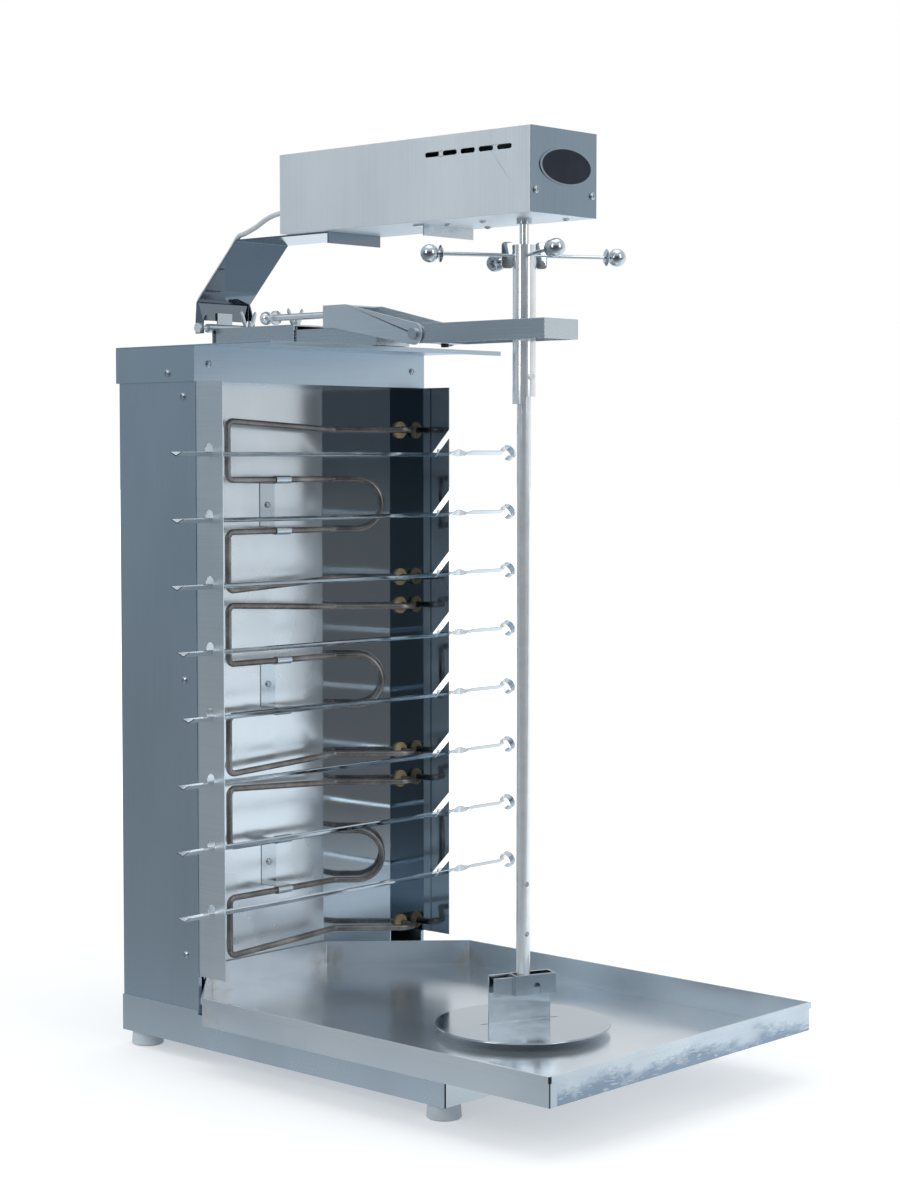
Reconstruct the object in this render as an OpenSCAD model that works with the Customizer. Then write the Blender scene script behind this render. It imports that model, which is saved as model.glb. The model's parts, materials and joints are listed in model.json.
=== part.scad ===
// Vertical kebab grill: heated cabinet, motor head on a slide, hanging spit, drip tray and flat skewers.
// Origin on the table, under the middle of the box that holds the whole grill; +Z up, open front towards -Y.
// Inside the modules, x is counted from the cabinet's middle and y from its front plane.

/* [Sheet] */
// Thickness of the sheet steel
sheet = 1; // [0.8:0.1:1.2]
// Gap between pieces that are fitted together but don't touch
seat_gap = 0.3; // [0.2:0.05:0.4]

/* [Base] */
// Depth of the base, front to back
base_d = 524; // [480:1:560]
// Height of the base's box
base_h = 38; // [30:1:50]
// Height of the rim that holds the cabinet's foot
base_rim_h = 4.6; // [3:0.1:8]
// Height of a foot
foot_h = 17; // [12:1:25]
// Diameter of a foot
foot_d = 38; // [30:1:44]
// Distance of a foot's centre from the base's edges
foot_inset = 21; // [20:0.5:40]

/* [Cabinet] */
// Width over the side panels
cab_w = 378; // [350:1:420]
// Depth of the side panels
cab_d = 133.7; // [120:0.1:150]
// Height of the fire chamber above the base
chamber_h = 728; // [680:1:780]
// Height of the top cap
cap_h = 40.6; // [34:0.2:50]
// Depth of the top cap
cap_d = 138.5; // [137:0.5:160]
// Distance that the visor stands out over the fire
visor_reach = 128; // [90:1:140]
// Thickness of the visor
visor_t = 1.4; // [1:0.1:2]

/* [Fire chamber] */
// Distance from the front plane to the face of the back wall
wall_y = 86.5; // [84:0.5:92]
// Width of a cheek plate's face beside the reflector
cheek_w = 30.5; // [26:0.5:36]
// Distance from the front plane to the cheek plates' face
cheek_y = 26; // [22:0.5:30]
// Height of the rails and cheek plates above the base
rail_lift = 45; // [40:1:50]
// Distance that the rails stand out in front of the cabinet
rail_reach = 45; // [42:0.5:52]
// Distance that the rails reach back behind the front plane
rail_lap = 14; // [10:0.5:18]

/* [Heaters] */
// Diameter of a heater tube
heater_d = 7.5; // [6.5:0.5:8.5]
// Gap between the chamber's roof and the upper heater
heater_roof_gap = 39.25; // [30:0.25:50]
// Gap between the base and the lower heater
heater_base_gap = 40.25; // [36:0.25:60]
// Gap between one heater and the next
heater_gap = 10; // [6:0.5:16]
// Distance of a heater's ends from the height of its outer corners
heater_end_drop = 9; // [6:0.5:12]
// Half height between a heater's inner runs
heater_inner_rise = 31; // [26:1:36]
// Diameter of a terminal bushing
bushing_d = 21; // [18:0.5:24]

/* [Skewers] */
// Number of skewers
skewer_count = 8; // [2:1:8]
// Height of the lowest skewer hole above the base
skewer_first = 124.2; // [110:0.1:130]
// Distance from the chamber's roof down to the highest skewer hole
skewer_roof_gap = 76.7; // [70:0.1:90]
// Distance of the skewers in front of the cabinet
skewer_y = 22; // [20:0.5:26]
// Radius of a skewer hole
skewer_hole_r = 6.5; // [6.3:0.1:7]
// Width of a skewer blade's legs
skewer_leg = 7.2; // [6:0.1:7.4]
// Thickness of a skewer's metal
skewer_t = 1; // [0.8:0.1:1.2]
// Length of a skewer's tip beyond the cabinet
skewer_tip_reach = 53; // [40:1:60]
// Outer diameter of a skewer's ring
skewer_ring_d = 20; // [17:0.5:24]
// Distance from the cabinet's side to the middle of a skewer's ring
skewer_ring_reach = 135; // [125:1:150]

/* [Drip tray] */
// Width of the drip tray
tray_w = 452; // [420:1:480]
// Distance from the front plane to the tray's front
tray_reach = 562.6; // [500:1:600]
// Gap between the tray and the back wall
tray_wall_gap = 3; // [1:0.5:5]
// Gap between the tray's slanting sides and the reflector's wings, along x
tray_wing_gap = 2; // [1:0.5:4]
// Height of the tray
tray_h = 32; // [24:1:36]
// Height of the fold along the tray's rim
tray_fold_h = 7; // [5:0.5:9]

/* [Slide] */
// Half width of the channel
channel_half = 30; // [28:0.5:34]
// Height of the channel
channel_h = 29; // [27:0.5:32]
// Thickness of the channel's wall
channel_t = 2; // [1.5:0.1:2.4]
// Distance of the channel behind the front plane
channel_start = 4.5; // [2:0.5:10]
// Length of the channel
channel_l = 137.5; // [130:0.5:140]
// Distance that the slide bar reaches out in front
bar_reach = 130; // [120:1:140]
// Height of the slide bar
bar_h = 22; // [20:0.5:23]
// Clearance between sliding pieces
slide_gap = 0.5; // [0.4:0.05:0.6]

/* [Arm and fork] */
// Distance from the front plane to the fork's pivot
pivot_reach = 193; // [185:1:200]
// Height of the fork's pivot above the slide bar's underside
pivot_h = 10.7; // [10:0.1:12]
// Distance from the front plane to the arm's back edge
arm_back = 46; // [44:1:60]
// Distance from the spit's axis to the fork's front
fork_nose = 53.5; // [50:0.5:56]
// Height of the fork's strip
fork_h = 22; // [18:0.5:23]
// Half width of the arm over its walls
arm_half = 31; // [30:0.5:33]
// Thickness of the arm's and fork's metal
arm_t = 2; // [1.5:0.1:2.4]

/* [Head] */
// Width of the head
head_w = 110; // [100:1:120]
// Length of the head
head_l = 388; // [370:1:400]
// Height of the head
head_h = 92; // [85:1:100]
// Height of the head's underside above the visor
head_lift = 133; // [128:1:140]
// Half width of the rear bracket
bracket_half = 43; // [40:0.5:46]
// Thickness of the rear bracket
bracket_t = 2; // [1.5:0.1:2.5]
// Width of the badge
badge_w = 88; // [70:1:92]
// Height of the badge
badge_h = 40; // [34:1:44]

/* [Spit] */
// Distance from the head's front to the spit's axis
spit_inset = 57; // [54:1:60]
// Diameter of the drive shaft
shaft_d = 10.5; // [9.5:0.5:12]
// Outer diameter of the drive sleeve
sleeve_d = 25.5; // [23:0.5:28]
// Length of the drive sleeve
sleeve_l = 166; // [155:1:170]
// Diameter of the spit rod
rod_d = 15.5; // [14:0.5:17]
// Diameter of the meat plate
plate_d = 196; // [180:1:205]
// Thickness of the meat plate
plate_t = 2; // [1.5:0.1:3]
// Height of the meat plate's top above the base
plate_lift = 11.5; // [11:0.1:14]
// Distance from the spit's axis to a star handle's ball
star_r = 108; // [95:1:115]
// Diameter of a star handle's ball
star_ball_d = 20; // [17:0.5:22]

/* [Controls] */
// Diameter of a heater knob
knob_d = 42; // [36:1:46]
// Distance from one knob to the next
knob_pitch = 68; // [60:1:75]

/* [Hidden] */

// Overrun of every cut
cut = 1;
// Facets of round pieces
$fn = 48;
diagonal = sqrt(2);
right_angle = 90;
corner_angle = right_angle / 2;
// Turn of one facet where a route bends
bend_step_angle = 15;

// Heights and depths of the casing
base_top = foot_h + base_h;
chamber_top = base_top + chamber_h;
cap_top = chamber_top + cap_h;
visor_top = cap_top + visor_t;
base_w = cab_w + 2 * (seat_gap + sheet);
base_back = cab_d + seat_gap + sheet;
base_front = base_back - base_d;
panel_in = cab_w / 2 - sheet;
rail_in = panel_in - sheet;
cheek_in = rail_in - sheet;
rail_bottom = base_top + rail_lift;
// Half width of the back wall: its wings lean at half a right angle and end at the cheek plates
wall_half = cheek_in - cheek_w - (wall_y - cheek_y - sheet);
spit_reach = head_l - spit_inset;
fork_reach = spit_reach + fork_nose;
// Distance that the panels reach up into the cap
panel_lap = 17;
// Width of the fold at the side panels' lower front edge
panel_fold = 4;
// Height of the fold at the visor's front edge
visor_fold = 4;
// Slots in the base's floor
base_slot_count = 6;
base_slot_l = 60;
base_slot_w = 6;
base_slot_pitch = 20;

// Foot: radius of its tread and of its screw recess
foot_taper = 1.5;
foot_recess_r = 6;
foot_recess_h = 6;

// Louvres of the rear cover
louvre_count = 9;
louvre_l = 110;
louvre_w = 5;
louvre_pitch = 24;
louvre_x = 80;
// Distance from the chamber's roof down to the highest louvre
louvre_drop = 66;

// Reach of the cheek plates' side returns in front of the front plane
cheek_return = 14.5;

// Heaters share the chamber's height
heater_count = 3;
heater_span = chamber_h - heater_roof_gap - heater_base_gap;
heater_high = (heater_span - (heater_count - 1) * heater_gap) / heater_count;
heater_pitch = heater_high + heater_gap;
heater_corner_rise = (heater_high - heater_d) / 2;
heater_end_rise = heater_corner_rise - heater_end_drop;

// Heater route, counted from the axis of symmetry and the front plane
heater_turn_y = -2;
heater_wall_gap = 26.5;
heater_wing_inset = 6;
heater_left_inset = 10;
heater_hairpin_out = 14;
heater_end_inset = 14;
heater_run_y = wall_y - heater_wall_gap;
heater_wing_x = wall_half - heater_wing_inset;
heater_turn_x = heater_wing_x + heater_run_y - heater_turn_y;
heater_end_x = cheek_in - heater_end_inset;
heater_left_x = heater_left_inset - wall_half;
heater_hairpin_x = wall_half + heater_hairpin_out;
heater_tail = 20;
heater_bend = 9.5;
heater_corner_bend = 8;
heater_sides = 8;
// The hairpin's bends leave a short straight between them
hairpin_share = 0.9997;

// Bushing and heater clip
bushing_front = 6;
bushing_back = 9;
bushing_neck = 5;
clip_x = 2;
clip_w = 24;
clip_t = 1;
clip_screw_d = 8;

// Skewers share the height between the lowest and the highest hole
skewer_pitch = (chamber_h - skewer_first - skewer_roof_gap) / (skewer_count - 1);
// Teardrop hole: a round hole with a square corner below
skewer_drop = skewer_hole_r * diagonal;
notch_w = skewer_leg + 2 * seat_gap;
notch_l = (rail_reach - skewer_y) * diagonal + notch_w + cut;
// Height of a blade's lower edge above the lower corner of its notch
blade_lift = seat_gap * diagonal;
// Height of a blade's lower edge above the middle of its hole
blade_drop = skewer_drop - blade_lift;
skewer_strip_w = 8.5;
skewer_strip_t = 2;
skewer_twist_angle = -303;
skewer_twist_slices = 24;
skewer_twist_start = 11;
skewer_twist_l = 52;
skewer_tip_l = 13;
ring_start_angle = 150;
ring_end_angle = -135;
ring_step_angle = 15;
// Places where the neck bends up to the ring, as shares of the ring's radius
neck_shares = [1.35, 1.1, 0.12];
// Share of the tip reach by which each skewer is drawn back, from the lowest up
tip_shares = [0.15, 0.11, 0.15, 0.3, 0.17, 0, 0.02, 0];

// Tray wall and its fold, and how far a line at half a right angle moves for each unit of its inset
tray_t = 1.2;
tray_fold_t = 1.5;
corner_share = diagonal - 1;
cut_back_share = 2 - diagonal;
tray_back = wall_y - tray_wall_gap;
// Size of the tray's cut back corners, which run beside the reflector's wings
tray_corner = tray_w / 2 + tray_back - (wall_half + wall_y - tray_wing_gap);

// Slide bar, its rear knuckle and the hinge that carries the head
bar_half = channel_half - channel_t - slide_gap;
bar_tail = 7;
bar_t = 2;
hinge_back = 158;
hinge_lift = 30;
knuckle_d = 11;
pin_d = 6;
running_gap = 0.05;
bracket_back = 163;
stop_h = 49;
stop_half = 12;
bracket_low = 39.5;
bracket_web_low = 61;
bracket_lip = 11.5;
bracket_front = 68;
ear_r = 7;
pin_head_d = 12;
pin_head_h = 3;

// Wing screws
wing_front_y = 33;
wing_rear_y = 116;
wing_span = 25;
wing_h = 21;
wing_stud_d = 6;
wing_hub_d = 10;
wing_t = 2;
// Outline of one wing, as shares of half the span and of the height
wing_shares = [[0, 0], [0.4, 0], [1, 0.7], [1, 1], [0.67, 1], [0, 0.45]];

// Lock rod with its ball
lock_x = 22;
lock_lift = 38.5;
lock_guide_y = 60;
lock_rod_d = 8;
lock_ball_d = 16;
lock_ball_y = 60;
lock_collar_y = 42;
lock_collar_d = 17;
lock_collar_l = 3;
lock_front = 62;

// Arm outline and pivot
arm_high = 49;
arm_low = 25.5;
arm_end_r = 12.5;
arm_web_l = 100;
pivot_bolt_d = 6;
pivot_head_d = 13;
pivot_head_h = 3.5;
fork_half = arm_half - arm_t - slide_gap;
stop_nut_y = 220;
stop_nut_d = 9;
stop_nut_h = 4;
stop_plate_l = 16;

// Head details
vent_count = 5;
vent_l = 21;
vent_h = 5.5;
vent_pitch = 26.6;
vent_first = 143.5;
vent_drop = 20;
badge_t = 1;
badge_x = 3;
badge_drop = 40;
strip_y = 212;
strip_half = 41;
strip_x = 7;
strip_leg = 13;
strip_depth = 17;
gearbox_w = 76;
gearbox_l = 96;
gearbox_h = 38;
motor_d = 60;
motor_l = 92;
bearing_d = 17;
bearing_h = 6;
lead_d = 6;
lead_sides = 10;
// Points of the lead from the casing's back corner over the bracket and down behind its web,
// with their heights counted from the head's underside
lead_points = [[-48, 1, 25], [-48, 10, 25], [-47, 30, 21], [-44, 55, 12], [-40, 78, 6.5], [-37, 92, 4],
    [-36, 105, -8.5], [-36, 120, -23.5], [-36, 135, -38.5], [-36, 150, -53.5], [-36, 162, -65.5],
    [-36, 167, -74], [-36, 167, -90]];

// Spit details
shaft_up = 22;
sleeve_cap = 8;
sleeve_tongue = 8;
sleeve_pin_d = 7;
sleeve_pin_drop = 144;
sleeve_pin_angle = 256;
sleeve_pin_reach = 3;
sleeve_tongue_angle = 181;
hub_drop = 11.4;
star_angle = 59;
star_root = 9.5;
star_rod_d = 4.3;
star_flange_d = 19;
star_flange_r = 94;
star_flange_t = 3;
star_wing_h = 29;
star_wing_r = 26;
star_wing_t = 3;
rod_into_sleeve = 120;
rod_hole_d = 5.5;
// Heights of the rod's cross holes above its lower end
rod_hole_low = 66.5;
rod_hole_high = 122.5;
foot_plate_angle = -22.4;
foot_plate_l = 77;
foot_plate_h = 55;
foot_plate_t = 2;
foot_plate_back = 8;
clip_h = 23;
clip_sheet = 2;
clip_left = 14;
clip_right = 36;
clip_slot_x = 13;
clip_slot_w = 8;
clip_slot_h = 13.6;
spring_left = 38;
foot_slot_l = 9;

// Controls
knob_lift = 110;
knob_y = 78;
knob_h = 20;
knob_skirt_h = 6;
knob_crown_d = 30;
spindle_d = 6;
spindle_l = 14;
panel_hole_d = 10;
rocker_lift = 345;
rocker_w = 14;
rocker_l = 26;
rocker_gap = 0.3;
rocker_high = 4;
switch_w = 34;
switch_d = 24;
terminal_w = 52;
terminal_d = 22;
terminal_h = 26;
terminal_lift = 38;
gland_lift = 38;
gland_d = 22;
gland_l = 20;
gland_bore_d = 9;

// Screw heads of the casing and of the head
screw_d = 8;
screw_h = 2.4;
screw_slot = 1;
cap_screw_inset = 21;
side_screw_y = 21;
// Heights of the side screws, as shares of the chamber's height
side_screw_shares = [0.092, 0.53, 0.977];
// Places of the screws under the head, as shares of its half width and of its length
under_screw_shares = [[0.6, 0.936], [-0.236, 0.59], [-0.218, 0.724], [0.78, 0.616]];

// Middle of the box that holds the whole grill, counted from the cabinet's middle and its front plane
lead_back = lead_points[len(lead_points) - 1][1] + lead_d / 2;
middle_x = (skewer_ring_reach + skewer_ring_d / 2 - skewer_tip_reach) / 2;
middle_y = (lead_back - tray_reach) / 2;

// Moves a piece that is drawn from the cabinet's front plane to its place over the origin
module from_front() {
    translate([-middle_x, -middle_y, 0]) children();
}

module block(low, high) {
    translate(low) cube(high - low);
}

module mirrored() {
    mirror([1, 0, 0]) children();
}

// Extrudes an outline drawn in y and z along x
module along_x(length) {
    rotate([90, 0, 90]) linear_extrude(length) children();
}

function unit(v) = v / norm(v);

// Points of a bend of radius r at corner p between points a and b
function bend(a, p, b, r) =
    let (u = unit(p - a),
        v = unit(b - p),
        turn = acos(min(1, u * v)),
        reach = r * tan(turn / 2),
        middle = p + unit(v - u) * r / cos(turn / 2),
        from = p - u * reach - middle,
        to = p + v * reach - middle,
        steps = max(1, ceil(turn / bend_step_angle)))
    [for (i = [0:steps])
        middle + (from * sin(turn * (1 - i / steps)) + to * sin(turn * i / steps)) / sin(turn)];

// A route through corners [x, y, z, bend radius], with its corners rounded
function rounded_route(c) = let (n = len(c), p = [for (q = c) [q[0], q[1], q[2]]])
    concat([p[0]], [for (i = [1:n - 2]) each bend(p[i - 1], p[i], p[i + 1], c[i][3])], [p[n - 1]]);

// Side directions carried along a route without twist
function carry(p, i, side) = i >= len(p) ? [] :
    let (t = unit(p[min(i + 1, len(p) - 1)] - p[max(i - 1, 0)]), s = unit(side - t * (side * t)))
    concat([s], carry(p, i + 1, s));

// Skin over rings of points that follow each other, closed at both ends
module skin(rings, sides) {
    n = len(rings) / sides;
    walls = [for (i = [0:n - 2], k = [0:sides - 1])
        let (a = i * sides + k, b = i * sides + (k + 1) % sides)
        each [[a, a + sides, b + sides], [a, b + sides, b]]];
    ends = [[for (k = [0:sides - 1]) k], [for (k = [sides - 1:-1:0]) (n - 1) * sides + k]];
    polyhedron(rings, concat(walls, ends), convexity = 10);
}

// A round tube swept along points
module tube(p, d, sides) {
    n = len(p);
    start = unit(p[1] - p[0]);
    sideways = abs(start[2]) < 1 / diagonal ? [0, 0, 1] : [1, 0, 0];
    side = carry(p, 0, sideways);
    skin([for (i = [0:n - 1])
        let (t = unit(p[min(i + 1, n - 1)] - p[max(i - 1, 0)]), s = side[i], w = cross(t, s))
        for (k = [0:sides - 1]) p[i] + (s * cos(k * 360 / sides) + w * sin(k * 360 / sides)) * d / 2],
        sides);
}

// Pan head with a cross recess, standing on z = 0
module screw_head(d, h) {
    difference() {
        rotate_extrude() polygon([[0, 0], [d / 2, 0], [d / 2, h / 2], [d * 0.3, h], [0, h]]);
        for (turn = [0, 90]) rotate(turn) {
            translate([-d / 3, -screw_slot / 2, h / 2]) cube([d * 2 / 3, screw_slot, h]);
        }
    }
}

// Base and feet

module base_plinth() {
    color("lightsteelblue") from_front() difference() {
        union() {
            block([-base_w / 2, base_front, foot_h], [base_w / 2, base_back, base_top]);
            block([-base_w / 2, 0, foot_h], [base_w / 2, base_back, base_top + base_rim_h]);
        }
        block([-base_w / 2 + sheet, base_front + sheet, foot_h + sheet],
            [base_w / 2 - sheet, base_back - sheet, base_top - sheet]);
        block([-base_w / 2 + sheet, -cut, base_top],
            [base_w / 2 - sheet, base_back - sheet, base_top + base_rim_h + cut]);
        for (i = [0:base_slot_count - 1], side = [-1, 1]) {
            slot_y = base_front / 3 - i * base_slot_pitch;
            translate([side * base_w / 5 - base_slot_l / 2, slot_y, foot_h - cut])
                cube([base_slot_l, base_slot_w, sheet + 2 * cut]);
        }
    }
}

module foot() {
    rotate_extrude() polygon([[foot_recess_r, 0], [foot_d / 2 - foot_taper, 0], [foot_d / 2, foot_taper],
        [foot_d / 2 - foot_taper, foot_h], [0, foot_h], [0, foot_recess_h],
        [foot_recess_r, foot_recess_h]]);
}

module feet() {
    color("dimgray") from_front() for (x = [-1, 1], y = [base_front + foot_inset, base_back - foot_inset]) {
        translate([x * (base_w / 2 - foot_inset), y, 0]) foot();
    }
}

// Cabinet casing

module side_panel() {
    block([panel_in, 0, base_top], [cab_w / 2, cab_d, chamber_top]);
    block([panel_in, sheet + seat_gap, base_top], [cab_w / 2, cab_d, chamber_top + panel_lap]);
    block([panel_in - panel_fold, 0, base_top], [cab_w / 2, sheet, rail_bottom - sheet]);
}

module left_side_panel() {
    color("lightsteelblue") from_front() mirrored() side_panel();
}

module right_side_panel() {
    color("lightsteelblue") from_front() difference() {
        side_panel();
        for (i = [0:2]) {
            translate([panel_in - cut, knob_y, base_top + knob_lift + i * knob_pitch]) rotate([0, 90, 0])
                cylinder(h = sheet + 2 * cut, d = panel_hole_d);
        }
        translate([0, knob_y, base_top + rocker_lift])
            block([panel_in - cut, -rocker_l / 2 - rocker_gap, -rocker_w / 2 - rocker_gap],
                [cab_w / 2 + cut, rocker_l / 2 + rocker_gap, rocker_w / 2 + rocker_gap]);
    }
}

module skewer_rail() {
    block([rail_in, -rail_reach, rail_bottom], [panel_in, rail_lap, chamber_top]);
}

function hole_z(i) = base_top + skewer_first + i * skewer_pitch;

module left_skewer_rail() {
    half = skewer_hole_r / diagonal;
    color("silver") from_front() mirrored() difference() {
        skewer_rail();
        for (i = [0:skewer_count - 1]) {
            translate([rail_in - cut, -skewer_y, hole_z(i)]) along_x(sheet + 2 * cut) union() {
                circle(skewer_hole_r);
                polygon([[-half, -half], [0, -skewer_drop], [half, -half], [0, 0]]);
            }
        }
    }
}

module right_skewer_rail() {
    color("silver") from_front() difference() {
        skewer_rail();
        for (i = [0:skewer_count - 1]) {
            translate([rail_in - cut, -skewer_y, hole_z(i) - skewer_drop]) rotate([corner_angle, 0, 0])
                cube([sheet + 2 * cut, notch_w, notch_l]);
        }
    }
}

module rear_cover() {
    color("lightsteelblue") from_front() difference() {
        block([-panel_in, cab_d - sheet, base_top], [panel_in, cab_d, chamber_top + panel_lap]);
        for (i = [0:louvre_count - 1], side = [-1, 1]) {
            louvre_z = chamber_top - louvre_drop - i * louvre_pitch;
            translate([side * louvre_x - louvre_l / 2, cab_d - sheet - cut, louvre_z])
                cube([louvre_l, sheet + 2 * cut, louvre_w]);
        }
    }
}

module top_cap() {
    color("lightsteelblue") from_front() difference() {
        block([-base_w / 2, 0, chamber_top], [base_w / 2, cap_d, cap_top]);
        block([-base_w / 2 + sheet, sheet, chamber_top - cut],
            [base_w / 2 - sheet, cap_d - sheet, cap_top - sheet]);
    }
}

module chamber_roof() {
    color("silver") from_front()
        block([-panel_in, sheet + seat_gap, chamber_top], [panel_in, cab_d - sheet, chamber_top + sheet]);
}

module visor() {
    color("gainsboro") from_front() {
        block([-base_w / 2, -visor_reach, cap_top], [base_w / 2, cap_d, visor_top]);
        block([-base_w / 2, -visor_reach, cap_top - visor_fold],
            [base_w / 2, sheet - visor_reach, visor_top]);
    }
}

// Fire chamber

module reflector() {
    wing = wall_y - cheek_y - sheet;
    t = sheet * diagonal;
    lean = sheet * corner_share;
    color("whitesmoke") from_front() translate([0, 0, base_top]) linear_extrude(chamber_h) polygon([
        [-wall_half, wall_y], [wall_half, wall_y], [wall_half + wing, wall_y - wing],
        [wall_half + wing + t, wall_y - wing],
        [wall_half + lean, wall_y + sheet], [-wall_half - lean, wall_y + sheet],
        [-wall_half - wing - t, wall_y - wing], [-wall_half - wing, wall_y - wing]]);
}

module cheek_plate() {
    wing_end = wall_half + wall_y - cheek_y - sheet;
    difference() {
        translate([0, 0, rail_bottom]) linear_extrude(chamber_top - rail_bottom) polygon([
            [wing_end, cheek_y + sheet], [wing_end, cheek_y], [cheek_in, cheek_y],
            [cheek_in, -cheek_return], [rail_in, -cheek_return], [rail_in, cheek_y + sheet]]);
        children();
    }
}

module left_cheek_plate() {
    color("whitesmoke") from_front() mirrored() cheek_plate();
}

function heater_z(i) = chamber_top - heater_roof_gap - heater_high / 2 - i * heater_pitch;

module right_cheek_plate() {
    color("whitesmoke") from_front() cheek_plate() {
        for (i = [0:heater_count - 1], side = [-1, 1]) {
            translate([heater_end_x, cheek_y - cut, heater_z(i) + side * heater_end_rise])
                rotate([-90, 0, 0])
                cylinder(h = sheet + 2 * cut, d = bushing_d - 2 * bushing_neck + 2 * running_gap);
        }
    }
}

// One heater: terminal, turn, wing, long run, and the hairpin between the inner runs
function heater_half(up) = [
    [heater_end_x, cheek_y + heater_tail, up * heater_end_rise, 0],
    [heater_end_x, heater_turn_y, up * heater_end_rise, heater_bend],
    [heater_turn_x, heater_turn_y, up * heater_end_rise, heater_bend],
    [heater_wing_x, heater_run_y, up * heater_end_rise, heater_bend],
    [heater_left_x, heater_run_y, up * heater_corner_rise, heater_corner_bend],
    [heater_left_x, heater_run_y, up * heater_inner_rise, heater_corner_bend],
    [heater_wing_x, heater_run_y, up * heater_inner_rise, heater_bend],
    [heater_hairpin_x + heater_inner_rise / diagonal,
        heater_run_y + heater_wing_x - heater_hairpin_x - heater_inner_rise / diagonal,
        up * heater_inner_rise, heater_inner_rise * hairpin_share]];

module heater(i) {
    upper = heater_half(1);
    lower = heater_half(-1);
    last = len(lower) - 1;
    route = concat(upper, [for (k = [last:-1:0]) lower[k]]);
    color("rosybrown") from_front() translate([0, 0, heater_z(i)])
        tube(rounded_route(route), heater_d, heater_sides);
}

module heater_upper() {
    heater(0);
}

module heater_middle() {
    heater(1);
}

module heater_lower() {
    heater(2);
}

// Ceramic bushing round a heater's end, seated in the cheek plate
module bushing() {
    neck = bushing_d / 2 - bushing_neck;
    bore = heater_d / 2 + seat_gap;
    rotate_extrude() polygon([[bore, -bushing_front], [neck, -bushing_front],
        [bushing_d / 2, -bushing_front / 2], [bushing_d / 2, 0], [neck, 0], [neck, bushing_back],
        [bore, bushing_back]]);
}

module heater_bushings() {
    color("burlywood") from_front() for (i = [0:heater_count - 1], side = [-1, 1]) {
        translate([heater_end_x, cheek_y, heater_z(i) + side * heater_end_rise]) rotate([-90, 0, 0])
            bushing();
    }
}

// Strip on the back wall that holds both inner runs of one heater in round bands
module heater_clip() {
    band = heater_d / 2 + seat_gap;
    reach = heater_inner_rise - band;
    back = wall_y - heater_run_y;
    block([-clip_w / 2, -clip_t, -reach], [clip_w / 2, 0, reach]);
    for (side = [-1, 1]) {
        block([-clip_w / 2, -back, min(side * reach, side * (reach - clip_t))],
            [clip_w / 2, 0, max(side * reach, side * (reach - clip_t))]);
        translate([-clip_w / 2, -back, side * heater_inner_rise]) rotate([0, 90, 0]) difference() {
            cylinder(h = clip_w, r = band + clip_t);
            translate([0, 0, -cut]) cylinder(h = clip_w + 2 * cut, r = band);
        }
    }
}

module heater_clips() {
    color("silver") from_front() for (i = [0:heater_count - 1]) {
        translate([clip_x, wall_y, heater_z(i)]) heater_clip();
    }
}

module casing_screws() {
    color("gray") from_front() {
        for (i = [0:heater_count - 1]) {
            translate([clip_x, wall_y - clip_t, heater_z(i)]) rotate([90, 0, 0])
                screw_head(clip_screw_d, screw_h);
        }
        for (side = [-1, 1]) {
            translate([side * (cab_w / 2 - cap_screw_inset), 0, cap_top - cap_h / 2]) rotate([90, 0, 0])
                screw_head(screw_d, screw_h);
            translate([side * base_w / 2, cap_d / 3, chamber_top + cap_h / 4]) rotate([0, side * 90, 0])
                screw_head(screw_d, screw_h);
            for (share = side_screw_shares) {
                translate([side * cab_w / 2, side_screw_y, base_top + chamber_h * share])
                    rotate([0, side * 90, 0]) screw_head(screw_d, screw_h);
            }
        }
    }
}

// Electrical pieces behind the cheek plate and on the right side panel

module terminal_block() {
    front = cab_d - sheet - terminal_d;
    low = base_top + terminal_lift;
    color("dimgray") from_front() difference() {
        block([-terminal_w / 2, front, low], [terminal_w / 2, cab_d - sheet, low + terminal_h]);
        for (i = [-2:2]) {
            translate([i * terminal_w / 6, front - cut, low + terminal_h / 2]) rotate([-90, 0, 0])
                cylinder(h = terminal_d / 3 + cut, d = terminal_w / 10);
        }
    }
}

module switch_bodies() {
    color("dimgray") from_front() {
        for (i = [0:2]) {
            translate([0, knob_y, base_top + knob_lift + i * knob_pitch]) difference() {
                block([panel_in - switch_d, -switch_w / 2, -switch_w / 2],
                    [panel_in, switch_w / 2, switch_w / 2]);
                translate([panel_in - spindle_l, 0, 0]) rotate([0, 90, 0])
                    cylinder(h = spindle_l + cut, d = spindle_d + 2 * running_gap);
            }
        }
        translate([0, knob_y, base_top + rocker_lift]) difference() {
            block([panel_in - switch_d, -switch_w / 2, -rocker_w], [panel_in, switch_w / 2, rocker_w]);
            block([panel_in - rocker_w, -rocker_l / 2 - rocker_gap, -rocker_w / 2 - rocker_gap],
                [panel_in + cut, rocker_l / 2 + rocker_gap, rocker_w / 2 + rocker_gap]);
        }
    }
}

// Gland for a mains cable, with its open bore
module cable_gland() {
    color("dimgray") from_front() translate([-cab_w / 4, cab_d, base_top + gland_lift])
        rotate([-90, 0, 0]) difference() {
            union() {
                cylinder(h = gland_d / 4, d = gland_d, $fn = 6);
                cylinder(h = gland_l, d = gland_d * 3 / 4);
            }
            translate([0, 0, gland_d / 4]) cylinder(h = gland_l, d = gland_bore_d);
        }
}

// Rotary knob with a grip bar and a spindle that turns in its switch
module heater_knob(i) {
    color("black") from_front() translate([cab_w / 2, knob_y, base_top + knob_lift + i * knob_pitch]) {
        rotate([0, 90, 0]) {
            translate([0, 0, seat_gap]) cylinder(h = knob_skirt_h, d = knob_d);
            translate([0, 0, seat_gap]) cylinder(h = knob_h - knob_skirt_h / 2, d = knob_crown_d);
            translate([0, 0, sheet - spindle_l]) cylinder(h = spindle_l, d = spindle_d);
        }
        block([seat_gap, -knob_d / 10, -knob_d / 2], [knob_h, knob_d / 10, knob_d / 2]);
    }
}

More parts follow.
